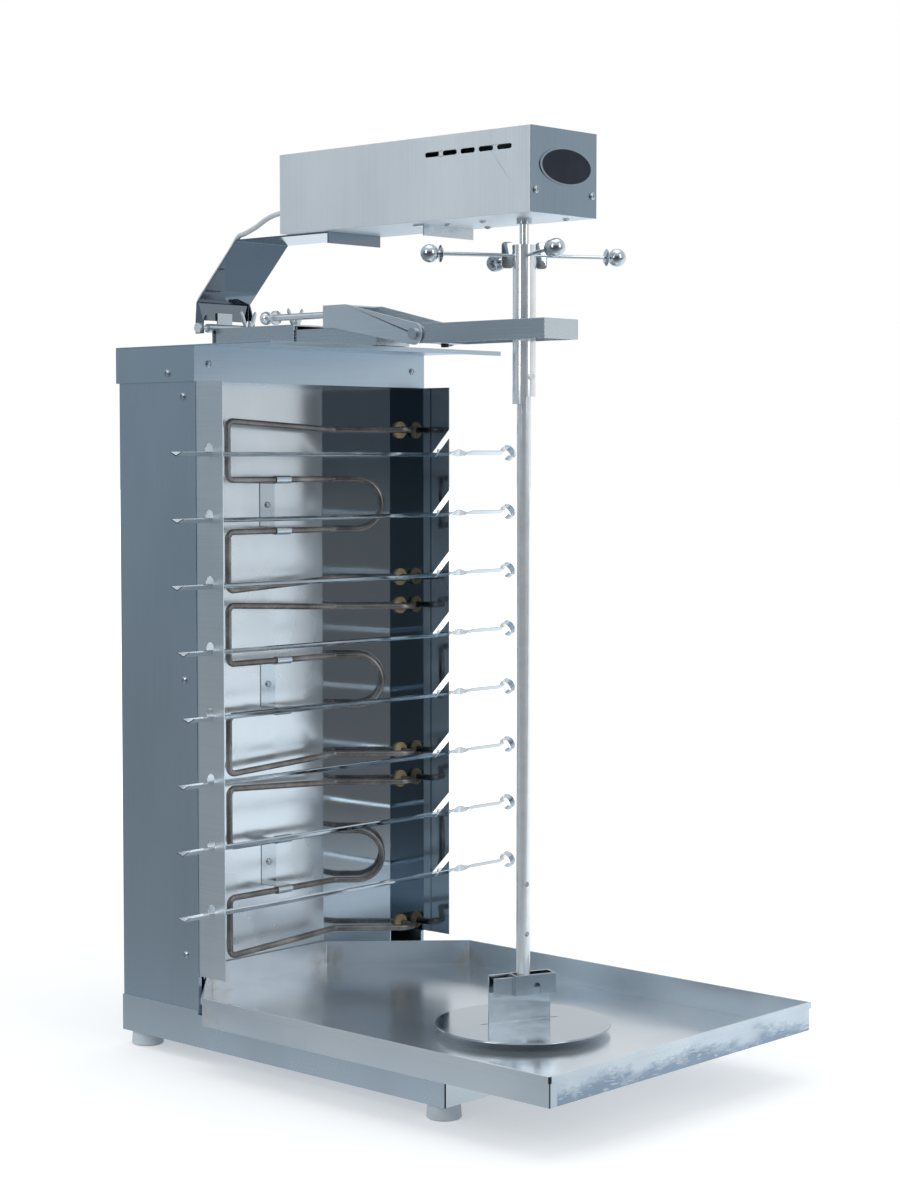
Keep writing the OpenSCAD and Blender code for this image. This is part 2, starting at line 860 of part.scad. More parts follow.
module heater_knob_1() {
    heater_knob(0);
}

module heater_knob_2() {
    heater_knob(1);
}

module heater_knob_3() {
    heater_knob(2);
}

module motor_switch_rocker() {
    color("black") from_front() translate([cab_w / 2, knob_y, base_top + rocker_lift])
        translate([0, 0, -rocker_w / 2 + rocker_gap]) linear_extrude(rocker_w - 2 * rocker_gap) polygon([
            [0, -rocker_l / 2 + rocker_gap], [rocker_high / 2, -rocker_l / 2 + rocker_gap],
            [rocker_high / 4, 0], [rocker_high, rocker_l / 2 - rocker_gap],
            [0, rocker_l / 2 - rocker_gap], [-rocker_w / 2, 0]]);
}

// Slide on top of the cabinet

module slide_channel() {
    color("silver") from_front() difference() {
        block([-channel_half, channel_start, visor_top],
            [channel_half, channel_start + channel_l, visor_top + channel_h]);
        block([-channel_half + channel_t, channel_start - cut, visor_top - cut],
            [channel_half - channel_t, channel_start + channel_l + cut, visor_top + channel_h - channel_t]);
        for (y = [wing_front_y, wing_rear_y]) {
            translate([0, y, visor_top]) cylinder(h = channel_h + cut, d = wing_stud_d + 2 * running_gap);
        }
    }
}

// Thumb screw with two wings, its stud reaching down to the slide bar
module wing_screw() {
    translate([0, 0, visor_top + bar_h + 2 * slide_gap])
        cylinder(h = channel_h - bar_h + wing_h / 2, d = wing_stud_d);
    translate([0, 0, visor_top + channel_h + seat_gap]) {
        cylinder(h = wing_h / 2, d = wing_hub_d);
        for (side = [-1, 1]) {
            rotate([90, 0, 0]) translate([0, 0, -wing_t / 2]) linear_extrude(wing_t)
                polygon([for (p = wing_shares) [side * p[0] * wing_span / 2, p[1] * wing_h]]);
        }
    }
}

module wing_screw_front() {
    color("silver") from_front() translate([0, wing_front_y, 0]) wing_screw();
}

module wing_screw_rear() {
    color("silver") from_front() translate([0, wing_rear_y, 0]) wing_screw();
}

bar_low = visor_top + slide_gap;
hinge_z = visor_top + hinge_lift;

// Box tube that slides in the channel, with the hinge knuckle and the head's stop behind
module slide_bar() {
    back = channel_start + channel_l + bar_tail;
    color("silver") from_front() difference() {
        union() {
            block([-bar_half, -bar_reach, bar_low], [bar_half, back, bar_low + bar_h]);
            block([-channel_half, back - bar_t, bar_low], [channel_half, back, hinge_z]);
            block([-channel_half, back - bar_t, hinge_z - bar_t], [channel_half, hinge_back, hinge_z]);
            translate([-channel_half, hinge_back, hinge_z]) rotate([0, 90, 0])
                cylinder(h = 2 * channel_half, d = knuckle_d);
            block([-stop_half, bracket_back - bracket_t - seat_gap - bar_t, hinge_z],
                [stop_half, bracket_back - bracket_t - seat_gap, visor_top + stop_h]);
        }
        block([-bar_half + bar_t, -bar_reach + bar_t, bar_low + bar_t],
            [bar_half - bar_t, back - bar_t, bar_low + bar_h - bar_t]);
        translate([-channel_half - cut, hinge_back, hinge_z]) rotate([0, 90, 0])
            cylinder(h = 2 * (channel_half + cut), d = pin_d + 2 * running_gap);
    }
}

pivot_z = bar_low + pivot_h;

// Outline of an arm wall in y and z, from the back edge down to the round end at the pivot
module arm_outline() {
    hull() {
        translate([-pivot_reach, pivot_z]) circle(arm_end_r);
        translate([-arm_back - arm_end_r * 3, visor_top + arm_low])
            square([arm_end_r * 3, arm_high - arm_low]);
    }
}

// Channel that rides on the slide bar, lies on its top and carries the fork's pivot
module carriage_arm() {
    color("silver") from_front() difference() {
        union() {
            for (x = [-arm_half, arm_half - arm_t]) {
                translate([x, 0, 0]) along_x(arm_t) arm_outline();
            }
            block([-arm_half, -arm_back - arm_t, visor_top + arm_low],
                [arm_half, -arm_back, visor_top + arm_high]);
            block([-arm_half, -arm_back - arm_web_l, bar_low + bar_h],
                [arm_half, -arm_back, visor_top + arm_low]);
            block([-arm_half, -lock_guide_y, visor_top + arm_low],
                [arm_half, arm_t - lock_guide_y, visor_top + arm_high]);
            block([-arm_half, -arm_back - arm_web_l / 3, visor_top + arm_high - arm_t],
                [arm_half, -arm_back, visor_top + arm_high]);
        }
        translate([-arm_half - cut, -pivot_reach, pivot_z]) rotate([0, 90, 0])
            cylinder(h = 2 * (arm_half + cut), d = pivot_bolt_d + 2 * running_gap);
        translate([-lock_x, -arm_back + cut, visor_top + lock_lift]) rotate([90, 0, 0])
            cylinder(h = lock_guide_y - arm_back + 2 * cut, d = lock_rod_d + 2 * running_gap);
    }
}

// Pull rod with a ball, a collar and a neck that passes through the arm's back web
module lock_rod() {
    color("silver") from_front() translate([-lock_x, 0, visor_top + lock_lift]) {
        translate([0, lock_ball_y, 0]) sphere(d = lock_ball_d, $fn = 32);
        translate([0, lock_ball_y, 0]) rotate([90, 0, 0])
            cylinder(h = lock_ball_y + lock_front, d = lock_rod_d);
        translate([0, lock_collar_y + lock_collar_l, 0]) rotate([90, 0, 0])
            cylinder(h = lock_collar_l, d = lock_collar_d);
    }
}

// U-shaped fork whose two strips pass beside the drive sleeve
module fork_arm() {
    low = bar_low - seat_gap;
    back = pivot_reach - arm_end_r;
    color("silver") from_front() difference() {
        block([-fork_half, -fork_reach, low], [fork_half, -back, low + fork_h]);
        block([-fork_half + arm_t, -fork_reach + arm_t, low - cut],
            [fork_half - arm_t, -stop_nut_y, low + fork_h + cut]);
        block([-fork_half + arm_t, -stop_nut_y - cut, low + arm_t],
            [fork_half - arm_t, -back + cut, low + fork_h + cut]);
        block([-fork_half + arm_t, -stop_nut_y + stop_plate_l, low - cut],
            [fork_half - arm_t, -back + cut, low + fork_h + cut]);
        translate([-fork_half - cut, -pivot_reach, pivot_z]) rotate([0, 90, 0])
            cylinder(h = 2 * (fork_half + cut), d = pivot_bolt_d + 2 * running_gap);
    }
}

module fork_pivot_bolt() {
    length = 2 * arm_half + pivot_head_h;
    color("gray") from_front() for (side = [-1, 1]) {
        translate([side * (arm_half + pivot_head_h / 2), -pivot_reach, pivot_z]) rotate([0, 90, 0])
            cylinder(h = pivot_head_h, d = pivot_head_d, center = true);
    }
    color("gray") from_front() translate([0, -pivot_reach, pivot_z]) rotate([0, 90, 0])
        cylinder(h = length, d = pivot_bolt_d, center = true);
}

module fork_stop_nut() {
    color("dimgray") from_front() translate([0, -stop_nut_y + stop_plate_l / 2, bar_low - seat_gap]) {
        translate([0, 0, -stop_nut_h]) cylinder(h = stop_nut_h, d = stop_nut_d, $fn = 6);
    }
}

// Rear bracket, hinge pin and head

module rear_bracket() {
    low = visor_top + bracket_low;
    bend_low = visor_top + bracket_web_low;
    top = visor_top + head_lift;
    lean = bracket_t * corner_share;
    lean_back = bracket_back - (top - bend_low);
    color("silver") from_front() difference() {
        union() {
            translate([-bracket_half, 0, 0]) along_x(2 * bracket_half) polygon([
                [bracket_back, low], [bracket_back, bend_low], [lean_back, top],
                [-bracket_front, top], [-bracket_front, top - bracket_lip - bracket_t],
                [bracket_t - bracket_front, top - bracket_lip - bracket_t],
                [bracket_t - bracket_front, top - bracket_t], [lean_back - lean, top - bracket_t],
                [bracket_back - bracket_t, bend_low - lean], [bracket_back - bracket_t, low]]);
            for (x = [-bracket_half, bracket_half - bracket_t]) {
                translate([x, 0, 0]) along_x(bracket_t) polygon([
                    [hinge_back - ear_r, hinge_z - ear_r], [hinge_back + ear_r, hinge_z - ear_r],
                    [hinge_back + ear_r, low], [bracket_back, bend_low],
                    [bracket_back - bracket_t * 2, bend_low], [hinge_back - ear_r, low]]);
            }
        }
        translate([-bracket_half - cut, hinge_back, hinge_z]) rotate([0, 90, 0])
            cylinder(h = 2 * (bracket_half + cut), d = pin_d + 2 * running_gap);
    }
}

module hinge_pin() {
    color("gray") from_front() translate([0, hinge_back, hinge_z]) rotate([0, 90, 0]) {
        cylinder(h = 2 * bracket_half, d = pin_d, center = true);
        for (side = [-1, 1]) {
            translate([0, 0, side * (bracket_half + pin_head_h / 2)])
                cylinder(h = pin_head_h, d = pin_head_d, center = true);
        }
    }
}

head_low = visor_top + head_lift;
head_top = head_low + head_h;
head_front = sheet - head_l;

// Slot with round ends, running along x
module vent(length) {
    half = (vent_l - vent_h) / 2;
    block([0, -half, -vent_h / 2], [length, half, vent_h / 2]);
    for (y = [-half, half]) {
        translate([0, y, 0]) rotate([0, 90, 0]) cylinder(h = length, d = vent_h);
    }
}

module head_casing() {
    color("gainsboro") from_front() difference() {
        block([-head_w / 2, head_front, head_low], [head_w / 2, sheet, head_top]);
        block([-head_w / 2 + sheet, head_front - cut, head_low - cut],
            [head_w / 2 - sheet, 0, head_top - sheet]);
        for (i = [0:vent_count - 1]) {
            translate([-head_w / 2 - cut, head_front + vent_first - i * vent_pitch, head_top - vent_drop])
                vent(head_w + 2 * cut);
        }
    }
}

module head_front_plate() {
    color("gainsboro") from_front()
        block([-head_w / 2, head_front - sheet, head_low], [head_w / 2, head_front, head_top]);
}

module head_floor_plate() {
    color("silver") from_front() difference() {
        block([-head_w / 2 + sheet, head_front, head_low], [head_w / 2 - sheet, 0, head_low + sheet]);
        translate([0, -spit_reach, head_low - cut])
            cylinder(h = sheet + 2 * cut, d = shaft_d + 2 * seat_gap);
    }
}

module head_angle_strip() {
    color("silver") from_front() translate([strip_x, -strip_y, 0]) {
        block([-strip_half, 0, head_low - strip_leg], [strip_half, bracket_t, head_low]);
        block([-strip_half, 0, head_low - bracket_t], [strip_half, strip_depth, head_low]);
    }
}

module head_badge() {
    color("dimgray") from_front() translate([badge_x, head_front - sheet, head_top - badge_drop])
        rotate([90, 0, 0]) scale([1, badge_h / badge_w, 1]) cylinder(h = badge_t, d = badge_w, $fn = 96);
}

module head_screws() {
    color("gray") from_front() {
        for (side = [-1, 1]) {
            translate([side * (head_w / 2 - screw_d), head_front - sheet, head_low + 3 * screw_d])
                rotate([90, 0, 0]) screw_head(screw_d, screw_h);
        }
        for (share = under_screw_shares) {
            translate([share[0] * head_w / 2, -share[1] * head_l, head_low]) rotate([180, 0, 0])
                screw_head(screw_d, screw_h);
        }
    }
}

module gear_motor() {
    floor_z = head_low + sheet;
    color("darkgray") from_front() difference() {
        union() {
            block([-gearbox_w / 2, -spit_reach - gearbox_l / 2, floor_z],
                [gearbox_w / 2, -spit_reach + gearbox_l / 2, floor_z + gearbox_h]);
            translate([0, -spit_reach + gearbox_l / 2, floor_z + motor_d / 2 + cut]) rotate([-90, 0, 0])
                cylinder(h = motor_l, d = motor_d);
        }
        translate([0, -spit_reach, floor_z - cut])
            cylinder(h = shaft_up + cut, d = shaft_d + 2 * running_gap);
    }
}

module shaft_bearing() {
    color("gray") from_front() translate([0, -spit_reach, head_low - bearing_h]) difference() {
        cylinder(h = bearing_h, d = bearing_d);
        translate([0, 0, -cut]) cylinder(h = bearing_h + 2 * cut, d = shaft_d + 2 * running_gap);
    }
}

module motor_lead() {
    color("lightgray") from_front() translate([0, 0, head_low]) tube(lead_points, lead_d, lead_sides);
}

// Spit

sleeve_top = head_low - bearing_h - hub_drop * 2;

module drive_shaft() {
    color("silver") from_front() translate([0, -spit_reach, sleeve_top - sleeve_cap])
        cylinder(h = head_low + sheet + shaft_up - sleeve_top + sleeve_cap - seat_gap, d = shaft_d);
}

module drive_sleeve() {
    low = sleeve_top - sleeve_l;
    color("silver") from_front() translate([0, -spit_reach, 0]) difference() {
        union() {
            translate([0, 0, low]) cylinder(h = sleeve_l, d = sleeve_d);
            intersection() {
                translate([0, 0, low - sleeve_tongue]) cylinder(h = sleeve_tongue + cut, d = sleeve_d);
                rotate(sleeve_tongue_angle - corner_angle) translate([0, 0, low - 2 * sleeve_tongue])
                    cube([sleeve_d, sleeve_d, 3 * sleeve_tongue]);
            }
            rotate(sleeve_pin_angle) translate([0, 0, sleeve_top - sleeve_pin_drop]) rotate([0, 90, 0])
                cylinder(h = sleeve_d / 2 + sleeve_pin_reach, d = sleeve_pin_d);
        }
        translate([0, 0, low - 2 * sleeve_tongue]) cylinder(h = sleeve_l - sleeve_cap + 2 * sleeve_tongue,
            d = rod_d + 2 * running_gap);
        translate([0, 0, low]) cylinder(h = 2 * sleeve_l, d = shaft_d + 2 * running_gap);
        for (k = [0:3]) rotate(star_angle + k * 90) translate([star_root, 0, sleeve_top - hub_drop])
            rotate([0, 90, 0]) cylinder(h = sleeve_d, d = star_rod_d + 2 * running_gap);
    }
}

module star_handle() {
    plane = sleeve_top - hub_drop;
    color("silver") from_front() translate([0, -spit_reach, plane]) {
        for (k = [0:3]) rotate(star_angle + k * 90) {
            translate([star_root, 0, 0]) rotate([0, 90, 0])
                cylinder(h = star_r - star_root, d = star_rod_d);
            translate([star_flange_r, 0, 0]) rotate([0, 90, 0])
                cylinder(h = star_flange_t, d1 = star_flange_d * 3 / 5, d2 = star_flange_d);
            translate([star_flange_r, 0, 0]) rotate([0, 90, 0])
                cylinder(h = star_r - star_flange_r, d = star_flange_d / 3);
            translate([star_r, 0, 0]) sphere(d = star_ball_d, $fn = 32);
        }
        for (k = [0, 1]) rotate(star_angle + 90 + k * 180) {
            block([sleeve_d / 2, -star_wing_t / 2, -star_wing_h / 2],
                [star_wing_r, star_wing_t / 2, star_wing_h / 2]);
        }
    }
}

module spit_rod() {
    top = sleeve_top - sleeve_cap - seat_gap;
    low = base_top + plate_lift + foot_plate_h - clip_h + clip_sheet;
    color("silver") from_front() translate([0, -spit_reach, 0]) difference() {
        translate([0, 0, low]) cylinder(h = top - low, d = rod_d);
        for (rise = [rod_hole_low, rod_hole_high]) {
            rotate(sleeve_pin_angle) translate([0, 0, low + rise]) rotate([0, 90, 0])
                cylinder(h = 2 * rod_d, d = rod_hole_d, center = true);
        }
    }
}

// Meat plate with its upright foot plate and the clip that grips the rod's end
module meat_plate() {
    low = base_top + plate_lift - plate_t;
    front = rod_d / 2 + seat_gap + clip_sheet;
    slot_x = foot_plate_l / 2 + foot_slot_l / 2;
    color("silver") from_front() translate([0, -spit_reach, 0]) {
        difference() {
            translate([0, 0, low]) cylinder(h = plate_t, d = plate_d, $fn = 96);
            rotate(foot_plate_angle) for (side = [-1, 1]) {
                block([side * slot_x - foot_slot_l / 2, foot_plate_back, low - cut],
                    [side * slot_x + foot_slot_l / 2, foot_plate_back + foot_plate_t, low + plate_t + cut]);
            }
        }
        rotate(foot_plate_angle) translate([0, 0, low + plate_t]) {
            block([-foot_plate_l / 2, foot_plate_back, 0],
                [foot_plate_l / 2, foot_plate_back + foot_plate_t, foot_plate_h]);
            translate([0, 0, foot_plate_h - clip_h]) {
                difference() {
                    block([-clip_left, -front, 0], [clip_right, clip_sheet - front, clip_h]);
                    translate([clip_slot_x, -front - cut, clip_slot_h - clip_slot_w / 2]) {
                        block([-clip_slot_w / 2, 0, -clip_h], [clip_slot_w / 2, clip_sheet + 2 * cut, 0]);
                        rotate([-90, 0, 0]) cylinder(h = clip_sheet + 2 * cut, d = clip_slot_w);
                    }
                }
                block([clip_right - clip_sheet, -front, 0], [clip_right, foot_plate_back, clip_h]);
                block([-clip_left, -front, 0], [clip_sheet - clip_left, foot_plate_back, clip_h]);
                block([-clip_left, -front, 0],
                    [clip_slot_x - clip_slot_w / 2 - clip_sheet, foot_plate_back, clip_sheet - seat_gap]);
                block([-spring_left, -front / 2, 0],
                    [-clip_left, clip_sheet - front / 2, clip_h - clip_sheet]);
            }
        }
    }
}

// Drip tray

// Outline of the tray, drawn in by a distance
function tray_outline(inset) =
    let (half = tray_w / 2 - inset,
        front = inset - tray_reach,
        back = tray_back - inset,
        cut_back = tray_corner - inset * cut_back_share)
    [[-half, front], [half, front], [half, back - cut_back], [half - cut_back, back],
        [cut_back - half, back], [-half, back - cut_back]];

module drip_tray() {
    low = base_top + seat_gap;
    color("lightsteelblue") from_front() difference() {
        union() {
            translate([0, 0, low]) linear_extrude(tray_h) polygon(tray_outline(tray_fold_t));
            translate([0, 0, low + tray_h - tray_fold_h]) linear_extrude(tray_fold_h)
                polygon(tray_outline(0));
        }
        translate([0, 0, low + tray_t]) linear_extrude(tray_h) polygon(tray_outline(tray_fold_t + tray_t));
    }
}

// Skewers

// Turns a point about the x axis
function turned(p, angle) =
    [p[0], p[1] * cos(angle) - p[2] * sin(angle), p[1] * sin(angle) + p[2] * cos(angle)];

// Stations of a skewer's strip as x, distance across and roll: pressed flat, twist, neck and ring
function strip_stations(start, ring_x, r) = concat(
    [[start - skewer_strip_w, 0, 0], [start, 0, 0]],
    [for (k = [1:skewer_twist_slices])
        let (share = k / skewer_twist_slices)
        [start + skewer_twist_l * share, 0, skewer_twist_angle * share]],
    [[ring_x - r * neck_shares[0], 0, skewer_twist_angle],
        [ring_x - r * neck_shares[1], r * neck_shares[2], skewer_twist_angle]],
    [for (a = [ring_start_angle:-ring_step_angle:ring_end_angle])
        [ring_x + r * cos(a), r * sin(a), skewer_twist_angle]]);

// Flat strip swept along its stations
module strip(p) {
    corners = [[1, 1], [-1, 1], [-1, -1], [1, -1]];
    skin([for (i = [0:len(p) - 1])
        let (d = unit(p[min(i + 1, len(p) - 1)] - p[max(i - 1, 0)]),
            t = unit([d[0], d[1]]))
        for (c = corners)
            let (across = c[0] * skewer_strip_t / 2)
            turned([p[i][0] - across * t[1], p[i][1] + across * t[0], c[1] * skewer_strip_w / 2], p[i][2])],
        len(corners));
}

module blade_outline() {
    polygon([[0, 0], [skewer_leg, 0], [skewer_leg, skewer_t], [skewer_t, skewer_t], [skewer_t, skewer_leg],
        [0, skewer_leg]]);
}

// Angle-section blade with a slanted tip, and the strip that it is pressed into behind
module skewer(i) {
    tip = cab_w / 2 + skewer_tip_reach * (1 - tip_shares[i]);
    blade_end = cab_w / 2 + skewer_twist_start;
    axis_z = skewer_leg / diagonal;
    ring_r = (skewer_ring_d - skewer_strip_t) / 2;
    color("silver") from_front() translate([0, -skewer_y, hole_z(i) - blade_drop]) {
        difference() {
            translate([-tip, 0, 0]) rotate([corner_angle, 0, 0]) along_x(tip + blade_end) blade_outline();
            translate([-tip, axis_z, -cut]) rotate(-corner_angle)
                translate([-2 * skewer_tip_l, -3 * skewer_tip_l, 0])
                cube([2 * skewer_tip_l, 4 * skewer_tip_l, 2 * skewer_leg]);
        }
        translate([0, 0, axis_z]) strip(strip_stations(blade_end, cab_w / 2 + skewer_ring_reach, ring_r));
    }
}

module skewer_1() {
    skewer(0);
}

module skewer_2() {
    skewer(1);
}

module skewer_3() {
    skewer(2);
}

module skewer_4() {
    skewer(3);
}

module skewer_5() {
    skewer(4);
}

module skewer_6() {
    skewer(5);
}

module skewer_7() {
    skewer(6);
}

module skewer_8() {
    skewer(7);
}

base_plinth();
feet();
left_side_panel();
right_side_panel();
left_skewer_rail();
right_skewer_rail();
rear_cover();
top_cap();
chamber_roof();
visor();
reflector();
left_cheek_plate();
right_cheek_plate();
heater_upper();
heater_middle();
heater_lower();
heater_bushings();
heater_clips();
casing_screws();
terminal_block();
switch_bodies();
cable_gland();
heater_knob_1();
heater_knob_2();
heater_knob_3();
motor_switch_rocker();
slide_channel();
wing_screw_front();
wing_screw_rear();
slide_bar();
carriage_arm();
lock_rod();
fork_arm();
fork_pivot_bolt();
fork_stop_nut();
rear_bracket();
hinge_pin();
head_casing();
head_front_plate();
head_floor_plate();
head_angle_strip();
head_badge();
head_screws();
gear_motor();
shaft_bearing();
motor_lead();
drive_shaft();
drive_sleeve();
star_handle();
spit_rod();
meat_plate();
drip_tray();
skewer_1();
skewer_2();
skewer_3();
skewer_4();
skewer_5();
skewer_6();
skewer_7();
skewer_8();
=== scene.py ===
import json
import math

import bpy
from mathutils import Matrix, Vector

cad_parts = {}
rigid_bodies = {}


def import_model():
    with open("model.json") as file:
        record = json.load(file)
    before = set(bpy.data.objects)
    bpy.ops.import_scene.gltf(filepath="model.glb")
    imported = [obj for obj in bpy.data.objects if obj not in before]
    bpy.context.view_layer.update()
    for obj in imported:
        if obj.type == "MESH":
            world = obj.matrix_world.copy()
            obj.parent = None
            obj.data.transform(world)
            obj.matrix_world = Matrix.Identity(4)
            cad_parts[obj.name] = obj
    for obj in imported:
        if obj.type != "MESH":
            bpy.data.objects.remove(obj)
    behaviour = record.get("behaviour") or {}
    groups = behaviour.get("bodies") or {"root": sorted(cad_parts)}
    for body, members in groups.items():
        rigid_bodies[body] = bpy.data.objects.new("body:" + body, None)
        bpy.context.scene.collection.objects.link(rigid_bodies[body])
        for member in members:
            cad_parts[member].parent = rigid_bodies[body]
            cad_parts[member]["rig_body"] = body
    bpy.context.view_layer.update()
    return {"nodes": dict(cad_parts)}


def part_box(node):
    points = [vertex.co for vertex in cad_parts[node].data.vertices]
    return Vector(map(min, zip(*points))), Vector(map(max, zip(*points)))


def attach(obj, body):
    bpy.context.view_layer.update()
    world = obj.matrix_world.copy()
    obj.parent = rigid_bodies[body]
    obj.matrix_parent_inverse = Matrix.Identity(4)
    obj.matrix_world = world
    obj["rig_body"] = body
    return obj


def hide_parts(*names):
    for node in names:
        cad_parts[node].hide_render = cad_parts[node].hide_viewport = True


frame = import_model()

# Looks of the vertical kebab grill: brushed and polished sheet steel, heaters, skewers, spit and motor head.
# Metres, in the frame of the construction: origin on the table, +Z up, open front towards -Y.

NODES = frame["nodes"]

# Photograph and its camera
IMAGE_H = 1198
FOCAL_PX = 2422.12
SENSOR_H = 36.0
CAMERA_AT = Vector((-2.0658, -1.8912, 0.6962))
CAMERA_AZIMUTH = math.radians(-47.2425)
CAMERA_ELEVATION = math.radians(3.33465)

# Places on the grill: the cabinet's middle and front plane, the half width of the chamber's back wall, and
# the folded corners at the back of the tray
MIDDLE_X, FRONT_Y = -0.046, 0.1963
FOLD_X = 0.096
TRAY_CORNERS = [(-0.271, 0.150, 0.062), (-0.142, 0.279, 0.062), (0.050, 0.279, 0.062), (0.179, 0.150, 0.062)]

# Directions: the frame's axes, and the level line of sight with the one at its right
ACROSS, INWARD, UP = (1.0, 0.0, 0.0), (0.0, 1.0, 0.0), (0.0, 0.0, 1.0)
AWAY = (0.68, 0.73, 0.0)
RIGHTWARD = (0.73, -0.68, 0.0)


# Node helpers

def new_material(name):
    material = bpy.data.materials.new(name)
    material.use_nodes = True
    nodes = material.node_tree.nodes
    nodes.clear()
    shader = nodes.new("ShaderNodeBsdfPrincipled")
    out = nodes.new("ShaderNodeOutputMaterial")
    material.node_tree.links.new(shader.outputs["BSDF"], out.inputs["Surface"])
    return material, shader


class Graph:
    """Adds nodes to a material or world and links them with few words."""

    def __init__(self, owner, coordinates="Object"):
        self.tree = owner.node_tree
        self.place = self.add("ShaderNodeTexCoord").outputs[coordinates]

    def add(self, kind, **settings):
        node = self.tree.nodes.new(kind)
        for key, value in settings.items():
            setattr(node, key, value)
        return node

    def link(self, a, b):
        self.tree.links.new(a, b)

    def noise(self, scale, stretch=(1, 1, 1), detail=4, rough=0.5, shift=(0, 0, 0), turn=(0, 0, 0)):
        """Noise of about scale waves a metre, times stretch along each axis, moved and turned in place."""
        mapping = self.add("ShaderNodeMapping", vector_type="TEXTURE")
        mapping.inputs["Scale"].default_value = [1 / (scale * s) for s in stretch]
        mapping.inputs["Location"].default_value = shift
        mapping.inputs["Rotation"].default_value = [math.radians(a) for a in turn]
        self.link(self.place, mapping.inputs["Vector"])
        node = self.add("ShaderNodeTexNoise")
        node.inputs["Scale"].default_value = 1
        node.inputs["Detail"].default_value = detail
        node.inputs["Roughness"].default_value = rough
        self.link(mapping.outputs["Vector"], node.inputs["Vector"])
        return node.outputs["Fac"]

    def ramp(self, value, low, high, at=(0.3, 0.7)):
        """A value that goes from low to high while its input goes through the range at."""
        node = self.add("ShaderNodeMapRange")
        node.inputs["From Min"].default_value, node.inputs["From Max"].default_value = at
        node.inputs["To Min"].default_value, node.inputs["To Max"].default_value = low, high
        self.link(value, node.inputs["Value"])
        return node.outputs["Result"]

    def colours(self, value, stops):
        """A colour ramp over (position, colour) stops."""
        node = self.add("ShaderNodeValToRGB")
        ramp = node.color_ramp
        while len(ramp.elements) < len(stops):
            ramp.elements.new(0.5)
        for element, (at, colour) in zip(ramp.elements, stops):
            element.position = at
            element.color = (*colour, 1)
        self.link(value, node.inputs["Fac"])
        return node.outputs["Color"]

    def math(self, operation, a, b):
        node = self.add("ShaderNodeMath", operation=operation)
        for socket, value in zip(node.inputs, (a, b)):
            if isinstance(value, (int, float)):
                socket.default_value = value
            else:
                self.link(value, socket)
        return node.outputs[0]

    def dot(self, direction):
        """The place measured along a direction."""
        node = self.add("ShaderNodeVectorMath", operation="DOT_PRODUCT")
        node.inputs[1].default_value = direction
        self.link(self.place, node.inputs[0])
        return node.outputs["Value"]

    def near(self, point, inner, outer):
        """1 within a distance of a point, falling to 0 at a wider one."""
        node = self.add("ShaderNodeVectorMath", operation="DISTANCE")
        node.inputs[1].default_value = point
        self.link(self.place, node.inputs[0])
        return self.ramp(node.outputs["Value"], 1, 0, at=(inner, outer))

    def mix(self, factor, a, b, kind="FLOAT"):
        node = self.add("ShaderNodeMix", data_type=kind)
        socket_type = {"FLOAT": "VALUE", "RGBA": "RGBA"}[kind]
        sockets = [i for i in node.inputs if i.name in ("A", "B") and i.type == socket_type]
        factor_in = [i for i in node.inputs if i.name == "Factor" and i.type == "VALUE"][0]
        for socket, value in ((factor_in, factor), (sockets[0], a), (sockets[1], b)):
            if isinstance(value, bpy.types.NodeSocket):
                self.link(value, socket)
            else:
                socket.default_value = value
        return [o for o in node.outputs if o.type == socket_type][0]

    def bump(self, height, distance, below=None):
        """A bumped normal, distance metres high, on top of the one below."""
        node = self.add("ShaderNodeBump")
        node.inputs["Strength"].default_value = 1.0
        node.inputs["Distance"].default_value = distance
        self.link(height, node.inputs["Height"])
        if below is not None:
            self.link(below, node.inputs["Normal"])
        return node.outputs["Normal"]


def shade(colour, factor):
    """A colour made darker or paler."""
    return tuple(min(1, c * factor) for c in colour)


# Metals

SEAM_DARK = (0.03, 0.035, 0.04, 1)
GRAIN_SCALE = 800
GRAIN_TONE, GRAIN_GLOSS = 0.4, 0.18
HAND_MARKS = 0.2
ROLLING_SCALE, ROLLING_DEPTH = 700, 1.5e-6
ALONG_X = (0.01, 1, 1)
ALONG_Y = (1, 0.01, 1)
ALONG_Z = (1, 1, 0.01)
# Depths behind a box's front and left faces between which a painted front and seam end; the plinth's front is
# painted paler, as painted light, and the tray's front takes dark patches of painted shade. The tray's rim
# stands 1.5 mm ahead of its walls.
BASE_FRONT, BASE_SEAM = (0.0008, 0.0016), (0.0011, 0.0017)
TRAY_FRONT, TRAY_SEAM = (0.0018, 0.0024), (0.0027, 0.0032)


def behind_face(g, axis, face, depths):
    """1 from a face to the first depth behind it, falling to 0 at the second."""
    return g.ramp(g.dot(axis), 1, 0, at=(face + depths[0], face + depths[1]))


def painted_light_front_and_seam(g, colour, name):
    """Paints a node's front paler, as painted light, and draws the dark seam at its left corner, where the
    sheet wraps round.
    """
    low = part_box(name)[0]
    # Painted light: the node's front face is painted paler than the rest of its sheet.
    painted_light_pale = (0.86, 0.91, 0.94, 1)
    front = behind_face(g, INWARD, low.y, BASE_FRONT)
    colour = g.mix(front, colour, painted_light_pale, "RGBA")
    seam = g.math("MULTIPLY", front, behind_face(g, ACROSS, low.x, BASE_SEAM))
    return g.mix(seam, colour, SEAM_DARK, "RGBA")


